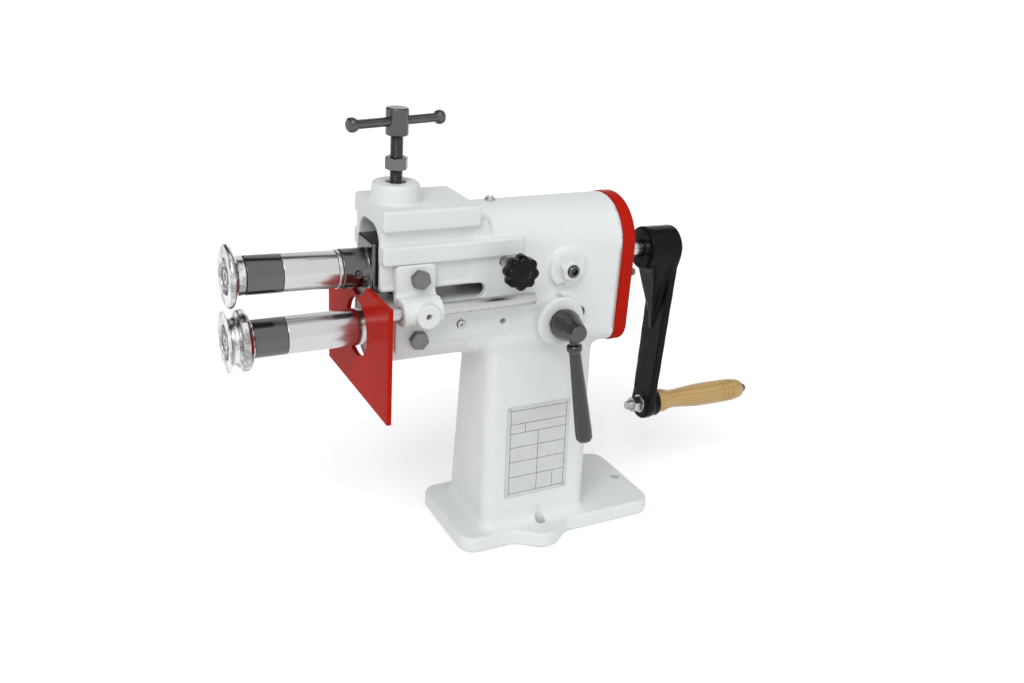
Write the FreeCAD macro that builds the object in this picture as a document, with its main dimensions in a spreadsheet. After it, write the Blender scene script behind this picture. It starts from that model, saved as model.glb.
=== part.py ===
import FreeCAD, Part
import math
import os
import Sketcher

# Hand cranked bead roller for a bench, in millimetres.
# The origin is the centre of the base plate's bottom face. +X runs along the two spindles
# towards the crank, +Z is up, and the side with the lever, knob and fence rod faces -Y.

V = FreeCAD.Vector
STRAIGHT = FreeCAD.Rotation()
ALONG_X = FreeCAD.Rotation(V(0, 1, 0), 90)
ALONG_Y = FreeCAD.Rotation(V(1, 0, 0), -90)
TO_FRONT = FreeCAD.Rotation(V(1, 0, 0), 90)
X_TO_Z = FreeCAD.Rotation(V(0, 1, 0), -90)
X_TO_FRONT = FreeCAD.Rotation(V(0, 0, 1), -90)
X_TO_BACK = FreeCAD.Rotation(V(0, 0, 1), 90)

os.makedirs("parts", exist_ok=True)
doc = FreeCAD.newDocument("bead_roller")
sheet = doc.addObject("Spreadsheet::Sheet", "Dims")

# Driving dimensions: places are measured from the origin above, and upper spindle
# places are measured along X as if its axis were level.
DRIVING = {
    # base plate and column
    "base_length": 270, "base_width": 138, "base_height": 20, "base_corner": 20,
    "lug_reach": 90, "lug_round": 21, "lug_x": -31, "lug_hole_x": -28, "lug_hole_y": 60,
    "end_hole_x": 121, "bolt_hole_dia": 12, "lug_neck": 48, "lug_waist": 15,
    "lug_overlap": 8,
    "column_x": -32, "column_length": 142, "column_foot": 112, "column_head": 82,
    "column_top": 262, "column_corner": 14,
    # arm, rails, housing
    "arm_end": -235, "wall_half": 38, "rail_half": 46, "pad_half": 43,
    "block_bottom": 402, "block_top": 425, "block_right": -124, "block_round": 3,
    "rail_bottom": 366, "rail_top": 387, "rail_right": -70,
    "pad_bottom": 274, "pad_top": 315, "pad_right": -72,
    "slot_bottom": 318, "slot_top": 336, "slot_right": -112,
    "through_cut": 70, "strip_round": 5,
    "barrel_r": 43, "cavity_half": 30, "cavity_top": 405, "cavity_round": 14,
    "house_front": -128, "house_rear": 56, "house_top": 418, "house_half": 54,
    "house_bottom": 245, "house_corner": 22,
    "chamber_half": 40, "chamber_x": 14, "chamber_bottom": 249, "chamber_top": 392,
    "chamber_round": 18, "cover_wall": 5, "cover_edge": 4,
    "cover_depth": 18, "cover_lip": 1, "cover_screw_r": 2.45, "cover_rim": 5,
    "boss_top": 445, "boss_r": 25, "boss_foot_r": 28, "boss_foot": 8,
    "pivot_boss_r": 23, "pivot_boss_reach": 54, "lever_boss_r": 30, "lever_boss_reach": 60,
    "pad_screw_x": -142, "pad_screw_z": 291.5, "open_hole_x": -89, "open_hole_z": 288,
    "oiler_seat_r": 6.5, "grub_y": -50, "grub_r": 3.95,
    # axes
    "lower_z": 285, "pivot_x": -15, "pivot_z": 347, "tilt": 1.45,
    "lever_x": -22, "knob_x": -91, "knob_z": 358.5, "oiler_x": -93, "screw_x": -205,
    "rod_y": -60, "rod_z": 319,
    # spindles: the places where one piece ends and the next begins
    "bead_x": -384.5, "bead_half": 3.4, "groove_x": -383.3, "groove_half": 6.3, "groove_deep": 7,
    "flange": 1.1,
    "roller_r": 33, "hub_r": 20.5, "nose_r": 10, "bore_r": 14, "recess_r": 18.5, "recess": 9,
    "upper_hub_end": -369, "upper_sleeve_end": -331.5, "upper_tube_end": -273,
    "upper_ring_end": -269, "nose_end": -240, "carrier_block_end": -176,
    "carrier_rear": 10, "carrier_r": 24,
    "lower_hub_end": -363, "lower_sleeve_end": -328, "lower_tube_end": -186,
    "lower_bush_end": -188,
    "gear_x": 24, "gear_width": 20, "gear_module": 2.5, "gear_teeth": 24,
    "crank_hub_x": 120, "crank_plate_x": 154, "crank_plate": 11, "crank_r": 218,
    "crank_boss": 12, "crank_shaft_r": 10, "grip_length": 155,
    "crank_hub_r": 27, "crank_top_r": 23, "crank_end_r": 20, "crank_boss_r": 19,
    "gusset_high": 14, "gusset_low": 112, "gusset_wide": 24, "grip_bolt_r": 5,
    # fits
    "running": 0.05, "apart": 0.3, "key_rise": 2, "key_room": 0.1,
    "roller_key": 9, "roller_key_width": 5, "gear_key_width": 6, "gear_bore_r": 12,
    "carrier_bush_r": 19, "front_bush_length": 43, "rear_bush_length": 24, "bush_out_r": 26,
    "ring_r": 31, "collar_r": 19, "ring_half": 6.9,
    # rail, screw, lever, fence sizes
    "screw_r": 7, "screw_foot_z": 387.24, "head_bottom": 493.5, "head_top": 522, "head_r": 12,
    "bar_r": 4.75, "bar_length": 122, "bar_z": 508, "bar_turn": 15.6,
    "nut_bottom": 458, "nut_height": 13, "nut_flats": 22,
    "eccentric": 3, "lever_shaft_r": 11, "lever_hub_r": 18.5, "lever_tip_r": 10.5,
    "rod_r": 6.8, "rod_end": -61, "fence_x": -248, "fence_thick": 5, "fence_width": 194,
    "fence_bottom": 210, "fence_top": 339, "fence_hole_r": 33.5, "fence_notch_z": 356,
    "bracket_left": -221, "bracket_right": -176, "bracket_face": -48,
    "bracket_bottom": 266, "bracket_top": 366, "bolt_x": -195, "bolt_high": 351, "bolt_low": 282,
    "bolt_flats": 18.5, "bolt_r": 6,
    "plate_width": 86, "plate_height": 119, "plate_x": -34.5, "plate_z": 118,
    "knob_r": 19.8, "knob_thick": 18, "knob_lobes": 8, "knob_lobe_r": 4.6, "knob_back": 70,
    "stud_r": 5,
    # return spring
    "spring_height": 15.65, "spring_r": 6.5, "spring_wire_r": 1,
}


class Size:
    """A length worked out from the sheet: its number, and the expression that gives it."""

    def __init__(self, number, text):
        self.number = float(number)
        self.text = text

    def joined(self, other, sign, number):
        return Size(number, "(%s %s %s)" % (self.text, sign, other.text))

    def __add__(self, other):
        other = as_size(other)
        return self.joined(other, "+", self.number + other.number)

    def __sub__(self, other):
        other = as_size(other)
        return self.joined(other, "-", self.number - other.number)

    def __mul__(self, other):
        other = as_size(other)
        return self.joined(other, "*", self.number * other.number)

    def __truediv__(self, other):
        other = as_size(other)
        return self.joined(other, "/", self.number / other.number)

    def __neg__(self):
        return as_size(0) - self

    def __radd__(self, other):
        return as_size(other) + self

    def __rsub__(self, other):
        return as_size(other) - self

    def __rmul__(self, other):
        return as_size(other) * self

    def __float__(self):
        return self.number


def as_size(value):
    return value if isinstance(value, Size) else Size(value, "(%s)" % repr(float(value)))


class Sizes:
    """The driving dimensions as attributes."""


d = Sizes()
for row, (alias, number) in enumerate(DRIVING.items(), start=1):
    sheet.set("A%d" % row, alias.replace("_", " "))
    sheet.set("B%d" % row, str(number))
    sheet.setAlias("B%d" % row, alias)
    setattr(d, alias, Size(number, "Dims.%s" % alias))
doc.recompute()

PIECES = []


def bind(obj, prop, value):
    value = as_size(value)
    if "Dims." in value.text:
        obj.setExpression(prop, value.text)
    else:
        setattr(obj, prop, value.number)


def place(obj, at, rotation=STRAIGHT):
    """Put obj at a point whose coordinates may follow the sheet."""
    obj.Placement = FreeCAD.Placement(V(*[float(c) for c in at]), rotation)
    for axis, coordinate in zip("xyz", at):
        if isinstance(coordinate, Size):
            obj.setExpression("Placement.Base." + axis, coordinate.text)


def keep(obj, label):
    """Name obj as one sub-part of the machine."""
    obj.Label = label
    PIECES.append(obj)
    return obj


def on_upper(obj):
    """Tilt a piece, made about the X axis with the pivot at 0, onto the upper spindle's axis."""
    place(obj, (d.pivot_x, 0, d.pivot_z), FreeCAD.Rotation(V(0, 1, 0), float(d.tilt)))
    return obj


def upper(station):
    """A place along the upper spindle, counted from the pivot."""
    return station - d.pivot_x


def box(name, low, high):
    obj = doc.addObject("Part::Box", name)
    for prop, a, b in zip(("Length", "Width", "Height"), low, high):
        bind(obj, prop, as_size(b) - a)
    place(obj, low)
    return obj


def rod(name, radius, length, at, rotation=ALONG_X):
    obj = doc.addObject("Part::Cylinder", name)
    bind(obj, "Radius", radius)
    bind(obj, "Height", length)
    place(obj, at, rotation)
    return obj


def cone(name, radius1, radius2, length, at, rotation=STRAIGHT):
    obj = doc.addObject("Part::Cone", name)
    bind(obj, "Radius1", radius1)
    bind(obj, "Radius2", radius2)
    bind(obj, "Height", length)
    place(obj, at, rotation)
    return obj


def fuse(name, shapes):
    obj = doc.addObject("Part::MultiFuse", name)
    obj.Shapes = shapes
    return obj


def cut(name, base, tools):
    obj = doc.addObject("Part::Cut", name)
    obj.Base = base
    obj.Tool = tools[0] if len(tools) == 1 else fuse(name + "_tools", tools)
    return obj


def group(name, shapes):
    """Separate solids that share one node."""
    obj = doc.addObject("Part::Compound", name)
    obj.Links = shapes
    return obj


def rounded(name, base, radius, wanted):
    """Round the edges of base that wanted picks."""
    doc.recompute()
    obj = doc.addObject("Part::Fillet", name)
    obj.Base = base
    edges = enumerate(base.Shape.Edges, start=1)
    obj.Edges = [(i, float(radius), float(radius)) for i, edge in edges if wanted(edge)]
    return obj


def runs_along(edge, axis):
    if not isinstance(edge.Curve, Part.Line):
        return False
    return abs(edge.Curve.Direction.dot(axis)) > 0.999


def sketch_on(body, plane, name):
    sketch = body.newObject("Sketcher::SketchObject", name)
    support = next(f for f in body.Origin.OriginFeatures if f.Role == plane)
    sketch.AttachmentSupport = [(support, "")]
    sketch.MapMode = "FlatFace"
    return sketch


def pin_point(sketch, geometry, end, point):
    """Hold one end of a sketch line at a point that follows the sheet."""
    for kind, value in zip(("DistanceX", "DistanceY"), point):
        value = as_size(value)
        index = sketch.addConstraint(Sketcher.Constraint(kind, geometry, end, value.number))
        if "Dims." in value.text:
            sketch.setExpression("Constraints[%d]" % index, value.text)


def outline(sketch, points):
    """A closed outline of straight lines."""
    corners = [V(float(x), float(y), 0) for x, y in points]
    count = len(corners)
    for i in range(count):
        sketch.addGeometry(Part.LineSegment(corners[i], corners[(i + 1) % count]), False)
    for i in range(count):
        sketch.addConstraint(Sketcher.Constraint("Coincident", i, 2, (i + 1) % count, 1))
    for i, point in enumerate(points):
        pin_point(sketch, i, 1, point)


def arch(sketch, half, bottom, top, corner):
    """An outline with upright sides, a half-round top and rounded bottom corners."""
    centre = top - half
    low = bottom + corner
    inner = half - corner
    points = [(-inner, bottom), (inner, bottom), (half, low), (half, centre),
              (-half, centre), (-half, low)]
    places = [V(float(y), float(z), 0) for y, z in points]
    turns = {1: (V(float(inner), float(low), 0), corner, 270),
             3: (V(0, float(centre), 0), half, 0),
             5: (V(-float(inner), float(low), 0), corner, 180)}
    for i, start in enumerate(places):
        if i in turns:
            middle, radius, first = turns[i]
            last = first + (180 if i == 3 else 90)
            circle = Part.Circle(middle, V(0, 0, 1), float(radius))
            arc = Part.ArcOfCircle(circle, math.radians(first), math.radians(last))
            sketch.addGeometry(arc, False)
        else:
            sketch.addGeometry(Part.LineSegment(start, places[(i + 1) % 6]), False)
    for i in range(6):
        sketch.addConstraint(Sketcher.Constraint("Coincident", i, 2, (i + 1) % 6, 1))
    for i, point in enumerate(points):
        pin_point(sketch, i, 1, point)


def turned(name, points, placement_at=(0, 0, 0), rotation=STRAIGHT):
    """A piece turned about its own X axis from points of (place along it, radius)."""
    body = doc.addObject("PartDesign::Body", name)
    sketch = sketch_on(body, "XY_Plane", name + "_profile")
    outline(sketch, points)
    turn = body.newObject("PartDesign::Revolution", name + "_turning")
    turn.Profile = sketch
    turn.ReferenceAxis = (sketch, ["H_Axis"])
    turn.Angle = 360
    place(body, placement_at, rotation)
    return body


def tube(name, outer, inner, start, end, placement_at=(0, 0, 0), rotation=STRAIGHT):
    points = [(start, inner), (end, inner), (end, outer), (start, outer)]
    return turned(name, points, placement_at, rotation)


def padded_plate(name, plane, points, start, thickness):
    """A flat piece: its outline on a plane of its own body, pushed along the plane's normal."""
    body = doc.addObject("PartDesign::Body", name)
    sketch = sketch_on(body, plane, name + "_outline")
    bind_offset(sketch, start)
    outline(sketch, points)
    pad = body.newObject("PartDesign::Pad", name + "_pad")
    pad.Profile = sketch
    bind(pad, "Length", thickness)
    return body


def bind_offset(sketch, start):
    start = as_size(start)
    sketch.AttachmentOffset = FreeCAD.Placement(V(0, 0, start.number), STRAIGHT)
    if "Dims." in start.text:
        sketch.setExpression("AttachmentOffset.Base.z", start.text)


def soften(body, radius, wanted):
    """Round edges of a body's last feature."""
    doc.recompute()
    last = body.Tip
    names = ["Edge%d" % i for i, edge in enumerate(last.Shape.Edges, start=1) if wanted(edge)]
    fillet = body.newObject("PartDesign::Fillet", body.Name + "_round%d" % len(body.Group))
    fillet.Base = (last, names)
    bind(fillet, "Radius", radius)
    doc.recompute()
    return body


def hexagon(name, flats, height, at, rotation=STRAIGHT):
    """A six-sided prism, its size given across flats."""
    obj = doc.addObject("Part::Prism", name)
    obj.Polygon = 6
    bind(obj, "Circumradius", flats / math.sqrt(3))
    bind(obj, "Height", height)
    place(obj, at, rotation)
    return obj


def hex_head(name, flats, height, at, rotation=STRAIGHT):
    """A hexagon head with its corners turned off at the outer end."""
    prism = hexagon(name + "_prism", flats, height, at, rotation)
    dome = cone(name + "_dome", flats * 0.76, flats * 0.5, height * 1.35, at, rotation)
    obj = doc.addObject("Part::Common", name)
    obj.Base = prism
    obj.Tool = dome
    return obj


# Body casting

def base_plate():
    low = (-d.base_length / 2, -d.base_width / 2, 0)
    high = (d.base_length / 2, d.base_width / 2, d.base_height)
    plate = rounded("base_plate", box("base_block", low, high), d.base_corner,
                    lambda edge: runs_along(edge, V(0, 0, 1)))
    lugs = []
    for side, name in ((-1, "front_lug"), (1, "back_lug")):
        lugs.append(rod(name, d.lug_round, d.base_height,
                        (d.lug_x, side * (d.lug_reach - d.lug_round), 0), STRAIGHT))
        root = side * (d.base_width / 2 - d.lug_overlap)
        neck = side * (d.lug_reach - d.lug_overlap)
        points = [(d.lug_x - d.lug_neck, root), (d.lug_x + d.lug_neck, root),
                  (d.lug_x + d.lug_waist, neck), (d.lug_x - d.lug_waist, neck)]
        lugs.append(padded_plate(name + "_neck", "XY_Plane", points, 0, d.base_height))
    return fuse("base_shape", [plate] + lugs)


def column_shape():
    """A column that narrows upwards between its front and back faces."""
    wedge = doc.addObject("Part::Wedge", "column_wedge")
    half = d.column_length / 2
    for prop, value in (("Xmin", -half), ("Xmax", half), ("X2min", -half), ("X2max", half),
                        ("Zmin", -d.column_foot / 2), ("Zmax", d.column_foot / 2),
                        ("Z2min", -d.column_head / 2), ("Z2max", d.column_head / 2)):
        bind(wedge, prop, value)
    wedge.Ymin = 0
    bind(wedge, "Ymax", d.column_top - d.base_height + 1)
    place(wedge, (d.column_x, 0, d.base_height - 1), TO_FRONT)
    return rounded("column", wedge, d.column_corner,
                   lambda edge: abs(edge.tangentAt(edge.FirstParameter).z) > 0.9)


def housing_shape():
    """The gear end: an arch that widens towards the cover."""
    body = doc.addObject("PartDesign::Body", "housing")
    front = sketch_on(body, "YZ_Plane", "housing_front")
    bind_offset(front, d.house_front)
    arch(front, d.wall_half, d.house_bottom, d.house_top, d.house_corner)
    rear = sketch_on(body, "YZ_Plane", "housing_rear")
    bind_offset(rear, d.house_rear)
    arch(rear, d.house_half, d.house_bottom, d.house_top, d.house_corner)
    loft = body.newObject("PartDesign::AdditiveLoft", "housing_loft")
    loft.Profile = front
    loft.Sections = [rear]
    loft.Ruled = True
    return body


def block_shape():
    block = box("top_block_raw", (d.arm_end, -d.rail_half, d.block_bottom),
                (d.block_right, d.rail_half, d.block_top))
    return rounded("top_block", block, d.block_round, lambda edge: True)


def side_strip(name, half, bottom, top, right):
    strip = box(name + "_raw", (d.arm_end, -half, bottom), (right, half, top))
    end = float(right)
    return rounded(name, strip, d.strip_round, lambda edge: abs(edge.BoundBox.XMax - end) < 0.01
                   and edge.BoundBox.XLength < 0.01)


def casting_solid():
    arm_top = d.block_bottom + d.block_round
    wall = box("arm_wall", (d.arm_end, -d.wall_half, d.lower_z),
               (d.house_front + 12, d.wall_half, arm_top))
    barrel = rod("barrel", d.barrel_r, d.house_rear - d.arm_end, (d.arm_end, 0, d.lower_z))
    rail = side_strip("rail", d.rail_half, d.rail_bottom, d.rail_top, d.rail_right)
    pad = side_strip("pad", d.pad_half, d.pad_bottom, d.pad_top, d.pad_right)
    pivot_boss = rod("pivot_boss", d.pivot_boss_r, d.pivot_boss_reach * 2,
                     (d.pivot_x, -d.pivot_boss_reach, d.pivot_z), ALONG_Y)
    lever_boss = rod("lever_boss", d.lever_boss_r, d.lever_boss_reach,
                     (d.lever_x, 0, d.lower_z), TO_FRONT)
    boss = rod("screw_boss", d.boss_r, d.boss_top - d.block_top + 1,
               (d.screw_x, 0, d.block_top - 1), STRAIGHT)
    boss_foot = cone("screw_boss_foot", d.boss_foot_r, d.boss_r, d.boss_foot,
                     (d.screw_x, 0, d.block_top - 1))
    rim = float(d.boss_top)
    boss_round = rounded("screw_boss_round", boss, d.block_round,
                         lambda edge: edge.BoundBox.ZMin > rim - 0.1)
    return fuse("casting_outside", [base_plate(), column_shape(), housing_shape(), wall, barrel,
                                    block_shape(), rail, pad, pivot_boss, lever_boss,
                                    boss_round, boss_foot])


def casting_hollows():
    cavity_box = box("cavity_box", (d.arm_end - 1, -d.cavity_half, d.slot_bottom),
                     (d.house_rear + 1, d.cavity_half, d.cavity_top))
    top = float(d.cavity_top)
    cavity = rounded("cavity", cavity_box, d.cavity_round,
                     lambda edge: runs_along(edge, V(1, 0, 0)) and edge.BoundBox.ZMin > top - 0.1)
    chamber_box = box("chamber_box", (d.chamber_x, -d.chamber_half, d.chamber_bottom),
                      (d.house_rear + 1, d.chamber_half, d.chamber_top))
    chamber = rounded("gear_chamber", chamber_box, d.chamber_round,
                      lambda edge: runs_along(edge, V(1, 0, 0)))
    slot_r = (d.slot_top - d.slot_bottom) / 2
    slot = box("slot_box", (d.arm_end - 1, -d.through_cut, d.slot_bottom),
               (d.slot_right - slot_r, d.through_cut, d.slot_top))
    slot_end = rod("slot_end", slot_r, d.through_cut * 2,
                   (d.slot_right - slot_r, -d.through_cut, d.slot_bottom + slot_r), ALONG_Y)
    front_bore = rod("front_bore", d.bush_out_r, d.lower_bush_end - d.arm_end + 1,
                     (d.arm_end - 1, 0, d.lower_z))
    through = rod("spindle_way", 22, 200, (d.arm_end, 0, d.lower_z))
    ring_room = rod("shift_room", d.ring_r, 60, (-40, 0, d.lower_z))
    lever_bore = rod("lever_bore", d.lever_shaft_r + 3, 70, (d.lever_x, 0, d.lower_z), TO_FRONT)
    pivot_bore = rod("pivot_bore", d.screw_r, d.through_cut * 2,
                     (d.pivot_x, -d.through_cut, d.pivot_z), ALONG_Y)
    screw_bore = rod("screw_bore", d.screw_r + d.running, 60, (d.screw_x, 0, 395), STRAIGHT)
    knob_bore = rod("knob_bore", d.stud_r + d.running, 50, (d.knob_x, -20, d.knob_z), TO_FRONT)
    pad_bore = rod("pad_screw_bore", 4, 24, (d.pad_screw_x, -22, d.pad_screw_z), TO_FRONT)
    open_bore = rod("pad_open_bore", 3, 14, (d.open_hole_x, -32, d.open_hole_z), TO_FRONT)
    oiler_bore = rod("oiler_bore", 3, 30, (d.oiler_x, 0, 395), STRAIGHT)
    oiler_spot = rod("oiler_spot", d.oiler_seat_r, 5, (d.oiler_x, 0, d.house_top - 0.5), STRAIGHT)
    grub_bore = rod("lever_grub_bore", 4, 20, (d.lever_x, d.grub_y, d.lower_z + 12), STRAIGHT)
    holes = [rod("end_hole", d.bolt_hole_dia / 2, 60, (d.end_hole_x, 0, -10), STRAIGHT)]
    for side, name in ((-1, "front_hole"), (1, "back_hole")):
        holes.append(rod(name, d.bolt_hole_dia / 2, 60,
                         (d.lug_hole_x, side * d.lug_hole_y, -10), STRAIGHT))
    bolt_bores = [rod("bracket_bore_%d" % n, d.bolt_r, 30, (d.bolt_x, -27, z), TO_FRONT)
                  for n, z in enumerate((d.bolt_high, d.bolt_low))]
    cover_bores = [rod("cover_bore_%d" % n, 2.5, 30, (d.house_rear - 15, y, z), ALONG_X)
                   for n, (y, z) in enumerate(cover_screw_places())]
    return [cavity, chamber, slot, slot_end, front_bore, through, ring_room, lever_bore,
            pivot_bore, screw_bore, knob_bore, pad_bore, open_bore, oiler_bore, oiler_spot,
            grub_bore] + holes + bolt_bores + cover_bores


def cover_screw_places():
    """Centres of the three cover screws, in the rim between the outline and the chamber."""
    side = d.house_half - d.cover_rim
    low = d.pivot_z - 14
    return [(-side, low), (side, low), (0, 409)]


def body_casting():
    keep(cut("body_casting", casting_solid(), casting_hollows()), "body_casting")


# Gear cover and the small parts fixed to the casting

def gear_cover():
    body = doc.addObject("PartDesign::Body", "cover")
    sketch = sketch_on(body, "YZ_Plane", "cover_outline")
    bind_offset(sketch, d.house_rear)
    arch(sketch, d.house_half + d.cover_lip, d.house_bottom - d.cover_lip,
         d.house_top + d.cover_lip, d.house_corner + d.cover_lip)
    pad = body.newObject("PartDesign::Pad", "cover_pad")
    pad.Profile = sketch
    bind(pad, "Length", d.cover_depth)
    face = float(d.house_rear + d.cover_depth)
    soften(body, d.cover_edge, lambda edge: edge.BoundBox.XMin > face - 0.01)
    inside = sketch_on(body, "YZ_Plane", "cover_inside")
    bind_offset(inside, d.house_rear)
    arch(inside, d.chamber_half, d.chamber_bottom + 8, d.chamber_top, as_size(12))
    pocket = body.newObject("PartDesign::Pocket", "cover_pocket")
    pocket.Profile = inside
    pocket.Reversed = True
    bind(pocket, "Length", d.cover_depth - d.cover_wall)
    reach = d.house_rear + d.cover_depth / 2 - d.pivot_x
    shaft_z = d.pivot_z - reach * math.sin(math.radians(float(d.tilt)))
    way = rod("cover_shaft_way", d.crank_shaft_r + 3.5, 40, (d.house_rear - 10, 0, shaft_z))
    holes = [rod("cover_hole_%d" % n, d.cover_screw_r + 0.25, 40, (d.house_rear - 10, y, z), ALONG_X)
             for n, (y, z) in enumerate(cover_screw_places())]
    keep(cut("gear_cover", body, [way] + holes), "gear_cover")


def cover_screws():
    screws = []
    for n, (y, z) in enumerate(cover_screw_places()):
        face = d.house_rear + d.cover_depth
        points = [(-24, 0), (-24, d.cover_screw_r), (0, d.cover_screw_r), (0, 4.5), (4, 4.5),
                  (4.6, 3.9), (4.6, 0)]
        screw = turned("cover_screw_%d" % n, points, (face, y, z))
        socket = hexagon("cover_socket_%d" % n, as_size(4), 4, (face + 2, y, z), ALONG_X)
        screws.append(cut("cover_screw_cut_%d" % n, screw, [socket]))
    keep(group("cover_screws", screws), "cover_screws")


def guide_bracket():
    """The clamp for the fence rod: two bolted ears and a bulged boss between them."""
    left, right, face = d.bracket_left, d.bracket_right, d.bracket_face
    width = right - left
    ear_high = box("ear_high", (left, face, d.rod_z + 8), (right, -d.wall_half, d.bracket_top))
    ear_low = box("ear_low", (left, face, d.bracket_bottom), (right, -d.pad_half, d.rod_z + 9))
    ears = [rounded(e.Name + "_round", e, 3, lambda edge: runs_along(edge, V(0, 1, 0)))
            for e in (ear_high, ear_low)]
    bulge = rod("bracket_bulge", 14.5, width, (left, d.rod_y, d.rod_z))
    nose = rod("bracket_nose", 13.5, 18, (d.bolt_x, d.rod_y, d.rod_z - 1), TO_FRONT)
    ways = [rod("rod_way", d.rod_r + d.running, width + 20, (left - 10, d.rod_y, d.rod_z)),
            rod("clamp_bore", 3.2, 30, (d.bolt_x, d.rod_y, d.rod_z - 1), TO_FRONT),
            box("bracket_back", (left - 5, -d.pad_half, d.bracket_bottom - 5),
                (right + 5, 0, d.pad_top)),
            box("bracket_back_high", (left - 5, -d.wall_half, d.pad_top - 1),
                (right + 5, 0, d.bracket_top + 5))]
    ways += [rod("ear_bore_%d" % n, d.bolt_r + 0.3, 40, (d.bolt_x, -30, z), TO_FRONT)
             for n, z in enumerate((d.bolt_high, d.bolt_low))]
    keep(cut("guide_bracket", fuse("bracket_solid", ears + [bulge, nose]), ways),
         "guide_bracket")


def bracket_bolts():
    bolts = []
    for n, z in enumerate((d.bolt_high, d.bolt_low)):
        head = hex_head("bolt_head_%d" % n, d.bolt_flats, 8, (d.bolt_x, d.bracket_face, z),
                        TO_FRONT)
        shank = rod("bolt_shank_%d" % n, d.bolt_r - d.running, 20,
                    (d.bolt_x, d.bracket_face + 20, z), TO_FRONT)
        bolts.append(fuse("bolt_%d" % n, [head, shank]))
    keep(group("bracket_bolts", bolts), "bracket_bolts")


def pivot_screws_and_nuts():
    screws = []
    nuts = []
    for side, turn, name in ((-1, X_TO_FRONT, "front"), (1, X_TO_BACK, "back")):
        points = [(21, 0), (21, 5), (31, 5), (32, 6.95), (65.5, 6.95), (67, 5.8), (67, 0)]
        screw = turned("pivot_%s" % name, points, (d.pivot_x, 0, d.pivot_z), turn)
        face = side * 67
        out = TO_FRONT if side < 0 else ALONG_Y
        socket = hexagon("pivot_socket_%s" % name, as_size(7), 8,
                         (d.pivot_x, face - side * 6, d.pivot_z), out)
        screws.append(cut("pivot_screw_%s" % name, screw, [socket]))
        nut = hex_head("pivot_nut_%s" % name, d.nut_flats, 10,
                       (d.pivot_x, side * d.pivot_boss_reach, d.pivot_z), out)
        hole = rod("pivot_nut_bore_%s" % name, 7, 20, (d.pivot_x, side * 50, d.pivot_z), out)
        nuts.append(cut("pivot_nut_cut_%s" % name, nut, [hole]))
    keep(group("pivot_screws", screws), "pivot_screws")
    keep(group("pivot_nuts", nuts), "pivot_nuts")


def small_fittings():
    cup = [(-12, 0), (-12, 2.95), (0, 2.95), (0, 6), (2, 6), (4.5, 4.8), (4.5, 2.2),
           (3.6, 1.5), (3.6, 0)]
    keep(turned("oiler", cup, (d.oiler_x, 0, d.house_top - 0.5), X_TO_Z), "top_oiler")
    ring = [(10, 0), (10, d.grub_r), (23.6, d.grub_r), (24.4, 3.3), (24.4, 0)]
    grub = turned("pad_grub", ring, (d.pad_screw_x, -22, d.pad_screw_z), X_TO_FRONT)
    socket = hexagon("pad_grub_socket", as_size(4), 5,
                     (d.pad_screw_x, -42, d.pad_screw_z), TO_FRONT)
    keep(cut("pad_set_screw", grub, [socket]), "pad_set_screw")
    stop = turned("lever_grub_turned", [(0, 0), (0, d.grub_r), (9, d.grub_r), (9, 0)],
                  (d.lever_x, d.grub_y, d.lower_z + 14.2), X_TO_Z)
    slot = hexagon("lever_grub_socket", as_size(4), 4, (d.lever_x, d.grub_y, d.lower_z + 20))
    keep(cut("lever_boss_set_screw", stop, [slot]), "lever_boss_set_screw")


def rating_plate():
    """A plain metal plate on the column's leaning front face, and its four rivets."""
    rise = d.column_top - d.base_height
    lean = math.degrees(math.atan(float((d.column_foot - d.column_head) / 2) / float(rise)))
    drop = (d.plate_z - d.base_height) / rise
    front = -(d.column_foot / 2 - (d.column_foot - d.column_head) / 2 * drop) - 0.05
    turn = FreeCAD.Rotation(V(1, 0, 0), -lean)
    half_w, half_h = d.plate_width / 2, d.plate_height / 2
    plate = padded_plate("plate", "XZ_Plane", [(-half_w, -half_h), (half_w, -half_h),
                                               (half_w, half_h), (-half_w, half_h)], 0, 0.8)
    place(plate, (d.plate_x, front, d.plate_z), turn)
    keep(plate, "rating_plate")
    rivets = []
    for n, (sx, sz) in enumerate(((-1, -1), (1, -1), (1, 1), (-1, 1))):
        at = turn.multVec(V(sx * (float(half_w) - 4), 0, sz * (float(half_h) - 4)))
        points = [(0.8, 0), (0.8, 2), (1.4, 1.8), (1.9, 1), (2, 0)]
        spot = (d.plate_x + at.x, front + at.y, d.plate_z + at.z)
        rivets.append(turned("rivet_%d" % n, points, spot, turn.multiply(X_TO_FRONT)))
    keep(group("plate_rivets", rivets), "plate_rivets")


def lower_bushes():
    at = (0, 0, d.lower_z)
    bush = tube("front_bush", d.bush_out_r, d.hub_r + d.running, d.arm_end + 1,
                d.lower_bush_end, at)
    keep(bush, "lower_front_bush")
    points = [(-4, d.bore_r + d.running), (19, d.bore_r + d.running), (19, 24), (13.8, 24),
              (13.8, d.ring_r), (-4, d.ring_r)]
    keep(turned("rear_bush", points, at), "lower_rear_bush")
    lever = [(32, d.lever_shaft_r + d.running), (60, d.lever_shaft_r + d.running), (60, 14),
             (32, 14)]
    keep(turned("lever_bush_turned", lever, (d.lever_x, 0, d.lower_z), X_TO_FRONT),
         "lever_bush")


# Rocker: the carrier that holds the upper spindle

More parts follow.
